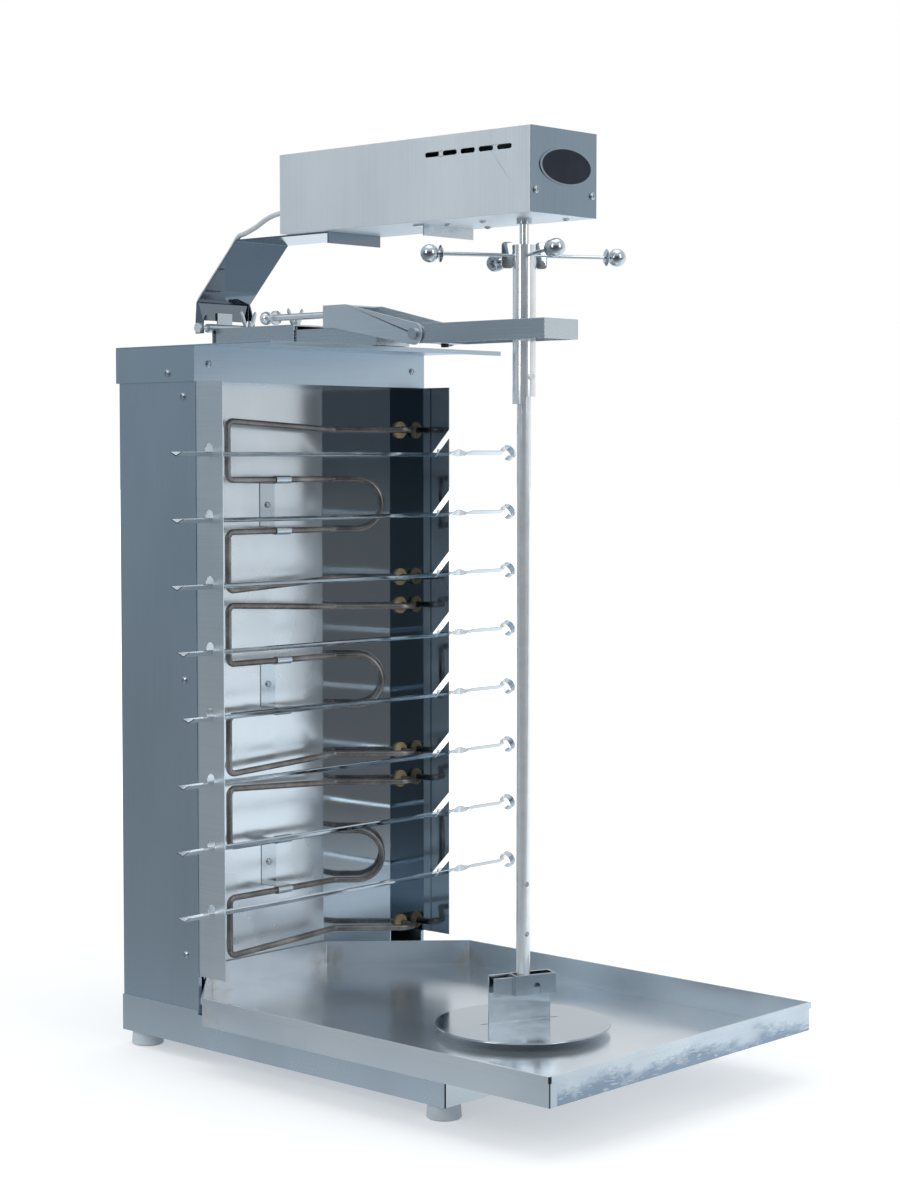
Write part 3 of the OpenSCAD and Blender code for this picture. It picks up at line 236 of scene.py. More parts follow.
def brushed_metal(name, colour, rough, grain=(1, 1, 1), grain_depth=2e-6, dents=0.0004,
        metallic=1.0, painted_front_and_seam_of=None, line_share=1.0):
    """Rolled and brushed sheet: fine lines along grain, slow waves of the sheet (dents), and hand marks.

    line_share says how much the lines show in tone and gloss, and painted_front_and_seam_of names a node
    whose front is painted paler, as painted light, and whose left corner has a dark seam.
    """
    material, shader = new_material(name)
    g = Graph(material)
    lines = g.noise(GRAIN_SCALE, grain, detail=1)
    waves = g.noise(3.2, detail=2, shift=(3, 1, 7))
    smears = g.noise(8, (1, 1, 0.6), detail=5, rough=0.6, shift=(5, 2, 1))
    line_tone, line_gloss = GRAIN_TONE * line_share, GRAIN_GLOSS * line_share
    tone = g.math("ADD", g.math("MULTIPLY", lines, line_tone), g.math("MULTIPLY", smears, 1 - line_tone))
    toned = g.colours(tone, [(0.37, shade(colour, 0.955)), (0.5, colour), (0.64, shade(colour, 1.035))])
    if painted_front_and_seam_of:
        toned = painted_light_front_and_seam(g, toned, painted_front_and_seam_of)
    g.link(toned, shader.inputs["Base Color"])
    spread = g.math("ADD", g.ramp(smears, -HAND_MARKS, HAND_MARKS), g.ramp(lines, -line_gloss, line_gloss))
    roughness = g.math("ADD", rough, g.math("MULTIPLY", spread, rough * 0.5))
    g.link(roughness, shader.inputs["Roughness"])
    shader.inputs["Metallic"].default_value = metallic
    slow = g.bump(waves, dents)
    g.link(g.bump(lines, grain_depth, below=slow), shader.inputs["Normal"])
    return material


def polished_metal(name, colour, rough, waves, smudge=2.6):
    """Bright sheet with the slow waves of thin metal, faint rolling lines and a few dull smears."""
    material, shader = new_material(name)
    g = Graph(material)
    slow = g.noise(4.5, (1, 1, 0.45), detail=2, rough=0.4, shift=(2, 6, 4))
    smears = g.noise(14, (1, 1, 0.6), detail=6, rough=0.65, shift=(1, 8, 3))
    lines = g.noise(ROLLING_SCALE, ALONG_Z, detail=1)
    g.link(g.colours(smears, [(0.3, shade(colour, 0.95)), (0.6, colour)]), shader.inputs["Base Color"])
    g.link(g.ramp(smears, rough * 0.7, rough * smudge, at=(0.35, 0.75)), shader.inputs["Roughness"])
    shader.inputs["Metallic"].default_value = 1
    bent = g.bump(slow, waves)
    g.link(g.bump(lines, ROLLING_DEPTH, below=bent), shader.inputs["Normal"])
    return material


def reflector_metal():
    """Heat-dulled back wall between polished wings: the finish changes where the sheet folds, the wall
    painted paler with a diffuse share as painted light and the wings painted darker as painted shade.
    """
    material, shader = new_material("reflector_steel")
    g = Graph(material)
    slow = g.noise(3.2, (1, 1, 0.45), detail=2, rough=0.4, shift=(2, 6, 4))
    smears = g.noise(12, (1, 1, 0.5), detail=3, shift=(1, 8, 3))
    lines = g.noise(ROLLING_SCALE, ALONG_Z, detail=1)
    across = g.math("ABSOLUTE", g.math("SUBTRACT", g.dot(ACROSS), MIDDLE_X), 0)
    wing = g.ramp(across, 0, 1, at=(FOLD_X - 0.001, FOLD_X + 0.001))
    # Painted light and shade: the wall is painted paler and the wings darker than the one sheet they are made
    # of.
    painted_light_wall_tone = g.colours(smears, [(0.34, (0.80, 0.85, 0.89)), (0.5, (0.88, 0.93, 0.97)),
        (0.64, (0.92, 0.97, 1.0))])
    painted_shade_wing_tone = (0.66, 0.73, 0.79, 1)
    g.link(g.mix(wing, painted_light_wall_tone, painted_shade_wing_tone, "RGBA"), shader.inputs["Base Color"])
    dull = g.ramp(smears, 0.15, 0.32, at=(0.35, 0.68))
    g.link(g.mix(wing, dull, g.ramp(smears, 0.05, 0.12)), shader.inputs["Roughness"])
    g.link(g.mix(wing, 0.72, 1.0), shader.inputs["Metallic"])
    bent = g.bump(slow, 0.0035)
    g.link(g.bump(lines, ROLLING_DEPTH, below=bent), shader.inputs["Normal"])
    return material


def heat_tint(g):
    """Patchy heat tint round the tray's back corners."""
    heat = [g.near(corner, 0.005, 0.034) for corner in TRAY_CORNERS]
    tint = g.math("MAXIMUM", g.math("MAXIMUM", heat[0], heat[1]), g.math("MAXIMUM", heat[2], heat[3]))
    return g.math("MULTIPLY", tint, g.ramp(g.noise(60, detail=4), 0.1, 0.8, at=(0.4, 0.62)))


def painted_shade_patches(g, low, high, scratch):
    """Dark patches of painted shade, thicker low down, right of the folded corner and with real scratches
    through them.
    """
    shade_mottle = g.noise(20, (1, 1, 2.2), detail=6, rough=0.7, shift=(4, 1, 2))
    height = g.ramp(g.dot(UP), 0.24, -0.24, at=(low.z, high.z))
    shade_patch = g.ramp(g.math("ADD", shade_mottle, height), 0, 0.75, at=(0.46, 0.70))
    right_of_fold = g.ramp(g.dot(ACROSS), 0, 1, at=(low.x + 0.012, low.x + 0.014))
    shade_patch = g.math("MULTIPLY", shade_patch, right_of_fold)
    return g.math("MULTIPLY", shade_patch, g.mix(scratch, 1.0, 0.35))


def tray_metal():
    """Used tray: satin mirror with smears, heat tint in the back corners, and a scratched, seamed front with
    dark blue patches of painted shade.
    """
    material, shader = new_material("tray_steel")
    g = Graph(material)
    low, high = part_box("drip_tray")
    straw, painted_shade_blue = (0.66, 0.55, 0.43, 1), (0.22, 0.31, 0.43, 1)
    tones = [(0.36, (0.66, 0.73, 0.79)), (0.5, (0.78, 0.84, 0.89)), (0.64, (0.84, 0.89, 0.93))]
    smears = g.noise(7, (1, 0.5, 1), detail=3, shift=(5, 2, 1))
    front = behind_face(g, INWARD, low.y, TRAY_FRONT)
    scratch = g.ramp(g.noise(520, (0.008, 1, 1), detail=0, turn=(0, 4, 9)), 0, 1, at=(0.66, 0.72))
    shade_patch = g.math("MULTIPLY", painted_shade_patches(g, low, high, scratch), front)
    seam = g.math("MULTIPLY", front, behind_face(g, ACROSS, low.x, TRAY_SEAM))
    colour = g.mix(heat_tint(g), g.colours(smears, tones), straw, "RGBA")
    # Painted shade: dark blue patches on the front, thicker low down, with real scratches through them.
    colour = g.mix(shade_patch, colour, painted_shade_blue, "RGBA")
    g.link(g.mix(seam, colour, SEAM_DARK, "RGBA"), shader.inputs["Base Color"])
    worn_front = g.math("MULTIPLY", g.math("MULTIPLY", scratch, front), 0.08)
    g.link(g.math("ADD", g.ramp(smears, 0.15, 0.25), worn_front), shader.inputs["Roughness"])
    shader.inputs["Metallic"].default_value = 0.86
    waves = g.noise(3.2, detail=2, shift=(3, 1, 7))
    g.link(g.bump(waves, 0.0018), shader.inputs["Normal"])
    return material


def turned_metal(name, colour, rough=0.16, metallic=1.0):
    """Drawn or turned bar: rings and scratches finer than a hair."""
    material, shader = new_material(name)
    g = Graph(material)
    rings = g.noise(2500, (0.25, 0.25, 1), detail=2)
    wear = g.noise(60, detail=5, rough=0.6)
    g.link(g.colours(wear, [(0.3, shade(colour, 0.9)), (0.62, colour)]), shader.inputs["Base Color"])
    g.link(g.ramp(wear, rough * 0.7, rough * 1.5), shader.inputs["Roughness"])
    shader.inputs["Metallic"].default_value = metallic
    g.link(g.bump(rings, 3e-6), shader.inputs["Normal"])
    return material


def heater_metal():
    """Sheath that has been red hot: brown, straw and grey patches."""
    material, shader = new_material("heater_sheath")
    g = Graph(material)
    patches = g.noise(22, detail=5, rough=0.6)
    specks = g.noise(500, detail=3)
    mixed = g.math("ADD", g.math("MULTIPLY", patches, 0.8), g.math("MULTIPLY", specks, 0.2))
    tones = [(0.32, (0.13, 0.115, 0.11)), (0.46, (0.23, 0.205, 0.195)), (0.56, (0.33, 0.30, 0.285)),
        (0.68, (0.46, 0.44, 0.42))]
    g.link(g.colours(mixed, tones), shader.inputs["Base Color"])
    g.link(g.ramp(patches, 0.26, 0.44), shader.inputs["Roughness"])
    shader.inputs["Metallic"].default_value = 0.95
    g.link(g.bump(specks, 2e-5), shader.inputs["Normal"])
    return material


# Other materials

def dull_material(name, stops, rough, metallic=0.0):
    """Cast, moulded or fired surface: patches of colour over a fine grain."""
    material, shader = new_material(name)
    g = Graph(material)
    patches = g.noise(40, detail=4)
    grain = g.noise(900, detail=3)
    mixed = g.math("ADD", g.math("MULTIPLY", patches, 0.7), g.math("MULTIPLY", grain, 0.3))
    steps = [0.34 + 0.32 * i / (len(stops) - 1) for i in range(len(stops))]
    g.link(g.colours(mixed, list(zip(steps, stops))), shader.inputs["Base Color"])
    g.link(g.ramp(grain, rough * 0.85, rough * 1.15), shader.inputs["Roughness"])
    shader.inputs["Metallic"].default_value = metallic
    g.link(g.bump(grain, 4e-5), shader.inputs["Normal"])
    return material


def badge_material():
    """Blank enamelled plate: dark blue-black field with a pale rim that follows its oval edge."""
    material, shader = new_material("badge_enamel")
    g = Graph(material)
    low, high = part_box("head_badge")
    centre, half = (low + high) / 2, (high - low) / 2
    mapping = g.add("ShaderNodeMapping", vector_type="TEXTURE")
    mapping.inputs["Location"].default_value = centre
    mapping.inputs["Scale"].default_value = (half.x, 10, half.z)
    g.link(g.place, mapping.inputs["Vector"])
    length = g.add("ShaderNodeVectorMath", operation="LENGTH")
    g.link(mapping.outputs["Vector"], length.inputs[0])
    rim = g.ramp(length.outputs["Value"], 0, 1, at=(0.915, 0.94))
    cloud = g.noise(30, detail=4)
    field = g.colours(cloud, [(0.35, (0.010, 0.015, 0.028)), (0.65, (0.016, 0.023, 0.042))])
    g.link(g.mix(rim, field, (0.30, 0.35, 0.42, 1), "RGBA"), shader.inputs["Base Color"])
    g.link(g.ramp(cloud, 0.16, 0.24), shader.inputs["Roughness"])
    g.link(rim, shader.inputs["Metallic"])
    shader.inputs["Specular IOR Level"].default_value = 0.2
    return material


# Finishes, and the nodes that have them

STEEL = (0.48, 0.57, 0.65)
BRIGHT = (0.64, 0.69, 0.73)

side_steel = brushed_metal("side_steel", STEEL, 0.38, ALONG_Z, grain_depth=1e-6, dents=0.0002)
base_steel = brushed_metal("base_steel", (0.62, 0.70, 0.77), 0.26, ALONG_Y, grain_depth=2e-7, dents=0.0002,
    painted_front_and_seam_of="base_plinth", line_share=0.2)
cap_steel = brushed_metal("cap_steel", (0.50, 0.59, 0.67), 0.32, ALONG_X, grain_depth=1e-6)
tray_steel = tray_metal()
# Painted light and shade: the head's casing and front plate are one steel, the casing painted pale with a
# diffuse share and the front plate painted dark.
head_steel_painted_light = brushed_metal("head_steel_painted_light", (0.90, 0.95, 0.99), 0.45, ALONG_Z, grain_depth=4e-6, dents=0.0002,
    metallic=0.6)
head_front_steel_painted_shade = brushed_metal("head_front_steel_painted_shade", (0.28, 0.35, 0.42), 0.28, ALONG_Z, grain_depth=1e-6,
    dents=0.0002)
arm_steel = brushed_metal("arm_steel", (0.80, 0.86, 0.90), 0.34, ALONG_Y, dents=0.0002)
satin_steel = brushed_metal("satin_steel", (0.62, 0.67, 0.71), 0.26, ALONG_Y, dents=0.0002)
clip_steel = brushed_metal("clip_steel", (0.58, 0.63, 0.67), 0.18, ALONG_Z, dents=0.0002)
reflector_steel = reflector_metal()
cheek_steel = polished_metal("cheek_steel", (0.33, 0.40, 0.46), 0.05, waves=0.0006)
plate_steel = polished_metal("plate_steel", shade(BRIGHT, 0.9), 0.12, waves=0.0003, smudge=1.6)
bracket_steel = polished_metal("bracket_steel", (0.22, 0.26, 0.30), 0.05, waves=0.0004)
skewer_steel = polished_metal("skewer_steel", (0.76, 0.80, 0.83), 0.07, waves=0.0)
rod_steel = turned_metal("rod_steel", (0.96, 0.98, 1.0), 0.09, 0.62)
ball_steel = turned_metal("ball_steel", BRIGHT, 0.09)
screw_steel = turned_metal("screw_steel", shade(BRIGHT, 0.95), 0.2)
heater_sheath = heater_metal()
ceramic = dull_material("bushing_ceramic", [(0.30, 0.22, 0.10), (0.46, 0.35, 0.18), (0.55, 0.45, 0.27)], 0.6)
rubber = dull_material("foot_rubber", [(0.74, 0.79, 0.82), (0.86, 0.90, 0.92)], 0.4)
black_plastic = dull_material("black_plastic", [(0.012, 0.012, 0.013), (0.025, 0.025, 0.027)], 0.42)
badge_enamel = badge_material()
nut_black = dull_material("nut_black", [(0.02, 0.02, 0.022), (0.05, 0.05, 0.055)], 0.4, metallic=0.6)
motor_iron = dull_material("motor_iron", [(0.10, 0.10, 0.11), (0.18, 0.18, 0.19)], 0.5, metallic=0.7)
lead_grey = dull_material("lead_grey", [(0.62, 0.65, 0.67), (0.74, 0.77, 0.79)], 0.4)

FINISHES = {
    side_steel: ["left_side_panel", "right_side_panel", "rear_cover"],
    base_steel: ["base_plinth"],
    cap_steel: ["top_cap", "visor"],
    tray_steel: ["drip_tray"],
    head_steel_painted_light: ["head_casing", "head_floor_plate"],
    head_front_steel_painted_shade: ["head_front_plate"],
    arm_steel: ["carriage_arm", "left_skewer_rail"],
    satin_steel: ["slide_channel", "slide_bar", "fork_arm", "head_angle_strip", "chamber_roof"],
    clip_steel: ["heater_clips"],
    reflector_steel: ["reflector"],
    cheek_steel: ["left_cheek_plate", "right_cheek_plate", "right_skewer_rail"],
    plate_steel: ["meat_plate"],
    bracket_steel: ["rear_bracket"],
    skewer_steel: [f"skewer_{i + 1}" for i in range(8)],
    rod_steel: ["spit_rod", "drive_sleeve", "drive_shaft", "lock_rod", "hinge_pin"],
    ball_steel: ["star_handle"],
    screw_steel: ["casing_screws", "head_screws", "fork_pivot_bolt", "wing_screw_front", "wing_screw_rear",
        "shaft_bearing"],
    heater_sheath: ["heater_upper", "heater_middle", "heater_lower"],
    ceramic: ["heater_bushings"],
    rubber: ["feet"],
    black_plastic: ["heater_knob_1", "heater_knob_2", "heater_knob_3", "motor_switch_rocker", "switch_bodies",
        "terminal_block", "cable_gland"],
    badge_enamel: ["head_badge"],
    nut_black: ["fork_stop_nut"],
    motor_iron: ["gear_motor"],
    lead_grey: ["motor_lead"],
}
for material, names in FINISHES.items():
    for name in names:
        NODES[name].data.materials.clear()
        NODES[name].data.materials.append(material)


# Mesh helpers

SMOOTH_ANGLE = math.radians(35)
BEND_STEP = math.radians(6)
TUBE_SIDES, LATHE_SIDES, CURVE_STEPS = 20, 36, 8


def add_piece(name, verts, faces, material, body, slot, *replaced):
    """A smooth-shaded mesh with the given material, that rides on a body and may stand for CAD nodes; its
    slot is not used.
    """
    mesh = bpy.data.meshes.new(name)
    mesh.from_pydata([tuple(v) for v in verts], [], faces)
    mesh.polygons.foreach_set("use_smooth", [True] * len(mesh.polygons))
    mesh.set_sharp_from_angle(angle=SMOOTH_ANGLE)
    mesh.materials.append(material)
    piece = bpy.data.objects.new(name, mesh)
    bpy.context.scene.collection.objects.link(piece)
    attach(piece, body)
    if replaced:
        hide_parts(*replaced)
    return piece


def loft(rings):
    """Vertices and faces of a closed skin over rings that have the same number of points."""
    sides = len(rings[0])
    last = (len(rings) - 1) * sides
    verts = [v for ring in rings for v in ring]
    faces = []
    for start in range(0, last, sides):
        for k in range(sides):
            after = (k + 1) % sides
            faces.append((start + k, start + after, start + sides + after, start + sides + k))
    faces += [tuple(range(sides - 1, -1, -1)), tuple(range(last, last + sides))]
    return verts, faces


def join(parts):
    """One mesh's vertices and faces from several."""
    verts, faces = [], []
    for part_verts, part_faces in parts:
        start = len(verts)
        verts += part_verts
        faces += [tuple(start + i for i in face) for face in part_faces]
    return verts, faces


def circle(radius, sides):
    """Points (x, y) of a circle about the origin."""
    angles = [math.tau * k / sides for k in range(sides)]
    return [(radius * math.cos(a), radius * math.sin(a)) for a in angles]


def across_to_start(axis):
    """A direction well away from an axis: up, or along X for a steep one."""
    return Vector((0, 0, 1)) if abs(axis.z) < 0.7 else Vector((1, 0, 0))


def tube(points, radius):
    """A round tube swept along points, its section carried along without twist."""
    rings = []
    across = None
    for i, point in enumerate(points):
        tangent = (points[min(i + 1, len(points) - 1)] - points[max(i - 1, 0)]).normalized()
        if across is None:
            across = across_to_start(tangent)
        across = (across - tangent * across.dot(tangent)).normalized()
        side = tangent.cross(across)
        rings.append([point + across * x + side * y for x, y in circle(radius, TUBE_SIDES)])
    return loft(rings)


def bend(before, corner, after, radius):
    """Points of the arc of a radius that rounds a corner."""
    u, v = (corner - before).normalized(), (after - corner).normalized()
    turn = u.angle(v)
    middle = corner + (v - u).normalized() * (radius / math.cos(turn / 2))
    reach = radius * math.tan(turn / 2)
    start, end = corner - u * reach - middle, corner + v * reach - middle
    steps = max(1, math.ceil(turn / BEND_STEP))
    arc = []
    for i in range(steps + 1):
        from_start, from_end = math.sin(turn * (1 - i / steps)), math.sin(turn * i / steps)
        arc.append(middle + (start * from_start + end * from_end) / math.sin(turn))
    return arc


def rounded_route(corners):
    """Points of a route through (corner, bend radius) pairs."""
    points = [corners[0][0]]
    for (before, _), (corner, radius), (after, _) in zip(corners, corners[1:], corners[2:]):
        points += bend(before, corner, after, radius)
    return points + [corners[-1][0]]


def smooth_curve(points):
    """Points of a smooth curve through given points."""
    path = [2 * points[0] - points[1], *points, 2 * points[-1] - points[-2]]
    curve = []
    for a, b, c, d in zip(path, path[1:], path[2:], path[3:]):
        for k in range(CURVE_STEPS):
            t = k / CURVE_STEPS
            curve.append(0.5 * (2 * b + (c - a) * t + (2 * a - 5 * b + 4 * c - d) * t * t
                + (3 * b - a - 3 * c + d) * t ** 3))
    return curve + [points[-1]]


def lathe(profile, at, axis):
    """Turns (distance along the axis, radius) points about an axis through a point."""
    along = Vector(axis).normalized()
    across = across_to_start(along)
    across = (across - along * across.dot(along)).normalized()
    side = along.cross(across)
    return loft([[at + along * x + across * (r * c) + side * (r * s) for c, s in circle(1, LATHE_SIDES)]
        for x, r in profile])


def ball_profile(centre, radius, start, end, step):
    """Profile points of a ball for lathe(), by angle in degrees between the poles at -90 and 90."""
    steps = round((end - start) / step)
    angles = [math.radians(start + (end - start) * i / steps) for i in range(steps + 1)]
    return [(centre + radius * math.sin(a), max(1e-5, radius * math.cos(a))) for a in angles]


# Heaters: one tube each, from bushing to bushing over the back wall and through a hairpin

HEATER_R = 0.00375
HEATER_END_X, HEATER_TURN_X = 0.172, 0.152
HEATER_WING_X, HEATER_LEFT_X, HEATER_HAIRPIN_X = 0.090, -0.086, 0.110
HEATER_RUN_Y = FRONT_Y + 0.060
HEATER_TURN_Y = FRONT_Y - 0.002
HEATER_TAIL_Y = FRONT_Y + 0.046
HEATER_END_RISE, HEATER_CORNER_RISE, HEATER_INNER_RISE = 0.092, 0.101, 0.031
HEATER_BEND, HEATER_CORNER_BEND = 0.0095, 0.008
# A hair under the inner rise, so that the hairpin's two arcs meet and don't overlap
HEATER_HAIRPIN_BEND = HEATER_INNER_RISE * 0.9997


def heater_half(middle, up):
    """Corners and bend radii of the upper or lower half of a heater, from its bushing to the hairpin."""
    def at(x, y, rise, radius):
        return Vector((MIDDLE_X + x, y, middle + up * rise)), radius

    hairpin = HEATER_INNER_RISE / math.sqrt(2)
    return [at(HEATER_END_X, HEATER_TAIL_Y, HEATER_END_RISE, 0),
        at(HEATER_END_X, HEATER_TURN_Y, HEATER_END_RISE, HEATER_BEND),
        at(HEATER_TURN_X, HEATER_TURN_Y, HEATER_END_RISE, HEATER_BEND),
        at(HEATER_WING_X, HEATER_RUN_Y, HEATER_END_RISE, HEATER_BEND),
        at(HEATER_LEFT_X, HEATER_RUN_Y, HEATER_CORNER_RISE, HEATER_CORNER_BEND),
        at(HEATER_LEFT_X, HEATER_RUN_Y, HEATER_INNER_RISE, HEATER_CORNER_BEND),
        at(HEATER_WING_X, HEATER_RUN_Y, HEATER_INNER_RISE, HEATER_BEND),
        at(HEATER_HAIRPIN_X + hairpin, HEATER_RUN_Y + HEATER_WING_X - HEATER_HAIRPIN_X - hairpin,
            HEATER_INNER_RISE, HEATER_HAIRPIN_BEND)]


for name in ("heater_upper", "heater_middle", "heater_lower"):
    low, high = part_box(name)
    middle = (low.z + high.z) / 2
    route = rounded_route(heater_half(middle, 1) + heater_half(middle, -1)[::-1])
    add_piece(name + "_tube", *tube(route, HEATER_R), heater_sheath, "cabinet", "heater_sheath", name)


# Star handle: four arms with balls and guard discs, and two grips on the sleeve

STAR_ANGLE = math.radians(59)
STAR_ROOT, STAR_ROD_R = 0.0095, 0.00215
STAR_BALL_AT, STAR_BALL_R = 0.108, 0.010
STAR_GUARD_AT, STAR_GUARD_R = 0.094, 0.0095
STAR_NECK_R = 0.0030
# Distance past a guard disc's place, and share of its radius or of the neck's
GUARD_PROFILE = [(-0.0002, 0.5), (0.0002, 0.8), (0.0014, 1), (0.0020, 0.97), (0.0022, 0.6)]
STAR_NECK_PROFILE = [(0.0030, 1.15), (0.0042, 1)]
GRIP_IN, GRIP_OUT, GRIP_H, GRIP_T, GRIP_CORNER = 0.01275, 0.026, 0.029, 0.003, 0.004


def star_arm(centre, angle):
    """One arm: rod, guard disc, neck and ball, turned in one profile."""
    neck_end = STAR_BALL_AT - math.sqrt(STAR_BALL_R ** 2 - STAR_NECK_R ** 2)
    profile = [(STAR_ROOT, STAR_ROD_R), (STAR_GUARD_AT - 0.0004, STAR_ROD_R)]
    profile += [(STAR_GUARD_AT + past, STAR_GUARD_R * share) for past, share in GUARD_PROFILE]
    profile += [(STAR_GUARD_AT + past, STAR_NECK_R * share) for past, share in STAR_NECK_PROFILE]
    start = -math.degrees(math.acos(STAR_NECK_R / STAR_BALL_R))
    profile += [(neck_end, STAR_NECK_R)] + ball_profile(STAR_BALL_AT, STAR_BALL_R, start, 90, 8)[1:]
    return lathe(profile, centre, (math.cos(angle), math.sin(angle), 0))


def rounded_slab(centre, along, up, across, size, corner):
    """A slab with rounded outline corners and eased edges: size is (length, height, thickness)."""
    steps = 6
    length, height, thick = (s / 2 for s in size)
    ease = min(0.0006, thick / 2)

    def outline(inset):
        points = []
        for sx, sy, start in ((1, 1, 0), (-1, 1, 90), (-1, -1, 180), (1, -1, 270)):
            for k in range(steps + 1):
                a = math.radians(start + 90 * k / steps)
                points.append((sx * (length - corner) + (corner - inset) * math.cos(a),
                    sy * (height - corner) + (corner - inset) * math.sin(a)))
        return points

    layers = [(-thick, ease), (-thick + ease * 0.3, ease * 0.3), (-thick + ease, 0), (thick - ease, 0),
        (thick - ease * 0.3, ease * 0.3), (thick, ease)]
    return loft([[centre + along * x + up * y + across * z for x, y in outline(inset)]
        for z, inset in layers])


star_low, star_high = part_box("star_handle")
star_centre = (star_low + star_high) / 2
arms = [star_arm(star_centre, STAR_ANGLE + k * math.pi / 2) for k in range(4)]
for k in (1, 3):
    angle = STAR_ANGLE + k * math.pi / 2
    out = Vector((math.cos(angle), math.sin(angle), 0))
    arms.append(rounded_slab(star_centre + out * (GRIP_IN + GRIP_OUT) / 2, out, Vector(UP),
        out.cross(Vector(UP)), (GRIP_OUT - GRIP_IN, GRIP_H, GRIP_T), GRIP_CORNER))
add_piece("star_handle_turned", *join(arms), ball_steel, "spit", "bright_steel", "star_handle")


# Wing screws: a turned stud and hub with two cast wings

WING_SPAN, WING_H = 0.025, 0.021
WING_SIDES = 16
# Share of the half span, rise, half width and half thickness
WING_PATH = [(0.0, 0.002, 0.0030, 0.0016), (0.35, 0.003, 0.0034, 0.0013), (0.62, 0.0085, 0.0032, 0.0011),
    (0.80, 0.0150, 0.0030, 0.0010), (0.90, 0.0185, 0.0024, 0.0009), (0.94, 0.0205, 0.0010, 0.0005)]
HUB_PROFILE = [(0, 0.0045), (0.0006, 0.005), (0.004, 0.0048), (0.0072, 0.0038), (0.0085, 0.0036),
    (0.009, 0.0030)]
STUD_R, STUD_END_R, STUD_EASE = 0.003, 0.0026, 0.0005


def wing(centre, side):
    """One wing: a flat loop of metal that rises outwards from the hub."""
    rings = []
    for i, (share, rise, wide, thick) in enumerate(WING_PATH):
        x, z = side * share * WING_SPAN / 2, rise
        ahead = WING_PATH[min(i + 1, len(WING_PATH) - 1)]
        behind = WING_PATH[max(i - 1, 0)]
        run = side * (ahead[0] - behind[0]) * WING_SPAN / 2
        tangent = Vector((run, 0, ahead[1] - behind[1])).normalized()
        normal = Vector((-tangent.z, 0, tangent.x))
        rings.append([centre + Vector((x, 0, z)) + normal * (wide * c) + Vector((0, thick * s, 0))
            for c, s in circle(1, WING_SIDES)])
    return loft(rings if side > 0 else [ring[::-1] for ring in rings])


for name in ("wing_screw_front", "wing_screw_rear"):
    low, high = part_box(name)
    centre = Vector(((low.x + high.x) / 2, (low.y + high.y) / 2, high.z - WING_H))
    stud_end = low.z - centre.z
    stud = lathe([(stud_end, STUD_END_R), (stud_end + STUD_EASE, STUD_R), (0.0, STUD_R)], centre, UP)
    hub = lathe(HUB_PROFILE, centre, UP)
    add_piece(name + "_cast", *join([stud, hub, wing(centre, 1), wing(centre, -1)]), screw_steel,
        NODES[name]["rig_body"], "bright_steel", name)


# Motor lead: a smooth curve through its points, kept within the depth of its solid

LEAD_R = 0.00295
LEAD_BACK = 0.167
LEAD_POINTS_MM = [(-48, 1, 983), (-48, 10, 983), (-47, 30, 979), (-44, 55, 970), (-40, 78, 964.5),
    (-37, 92, 962), (-36, 105, 949.5), (-36, 120, 934.5), (-36, 135, 919.5), (-36, 150, 904.5),
    (-36, 162, 892.5), (-36, 167, 884), (-36, 167, 868)]
lead = smooth_curve([Vector((MIDDLE_X + x / 1000, FRONT_Y + y / 1000, z / 1000))
    for x, y, z in LEAD_POINTS_MM])
for point in lead:
    point.y = min(point.y, FRONT_Y + LEAD_BACK)
add_piece("motor_lead_smooth", *tube(lead, LEAD_R), lead_grey, "head", "lead_sleeve", "motor_lead")


# Skewers: folded V blade with a slanted tip, pressed flat, twisted and bent into a ring

SKEWER_LEG, SKEWER_T, STRIP_W, STRIP_T, STRIP_EASE = 0.0072, 0.001, 0.0085, 0.002, 0.0004
SKEWER_TWIST = math.radians(-303)
SKEWER_TWIST_L, RING_R, RING_REACH = 0.052, 0.009, 0.135
TWIST_SLICES = 48
SKEWER_AHEAD = 0.022
CAB_HALF = 0.189
BLADE_END = CAB_HALF + 0.011
BLADE_STATIONS = (-0.15, 0.0, 0.15, BLADE_END - 0.004)
# The neck's points before the ring, in ring radii
NECK = ((1.35, 0.0), (1.22, 0.03), (1.1, 0.12))


def turned(x, y, z, angle):
    """A point turned by an angle about the X axis."""
    return Vector((x, y * math.cos(angle) - z * math.sin(angle), y * math.sin(angle) + z * math.cos(angle)))


def blade(tip_x, at):
    """The folded blade: a rounded V section drawn from the slanted tip to the pressed end."""
    h, t = SKEWER_LEG / math.sqrt(2), SKEWER_T / math.sqrt(2)
    # Outer and inner outline of the V from edge to edge, with the fold at the bottom eased
    outer = [(h, h), (h * 0.5, h * 0.5), (0.0009, 0.0009), (0.0004, 0.0005), (0, 0.00035), (-0.0004, 0.0005),
        (-0.0009, 0.0009), (-h * 0.5, h * 0.5), (-h, h)]
    inner = [(-h + t, h + t * 0.6), (-h * 0.5, h * 0.5 + 2 * t), (-0.0004, 2 * t + 0.0005),
        (0, 2 * t + 0.0003), (0.0004, 2 * t + 0.0005), (h * 0.5, h * 0.5 + 2 * t), (h - t, h + t * 0.6)]
    section = outer + inner
    tip = [at + Vector((tip_x + (h - y), y, z)) for y, z in section]
    body = [[at + Vector((x, y, z)) for y, z in section] for x in BLADE_STATIONS]
    pressed = [at + Vector((BLADE_END + 0.001, y * 0.3, z * 0.9 + 0.0004)) for y, z in section]
    return loft([tip, *body, pressed])


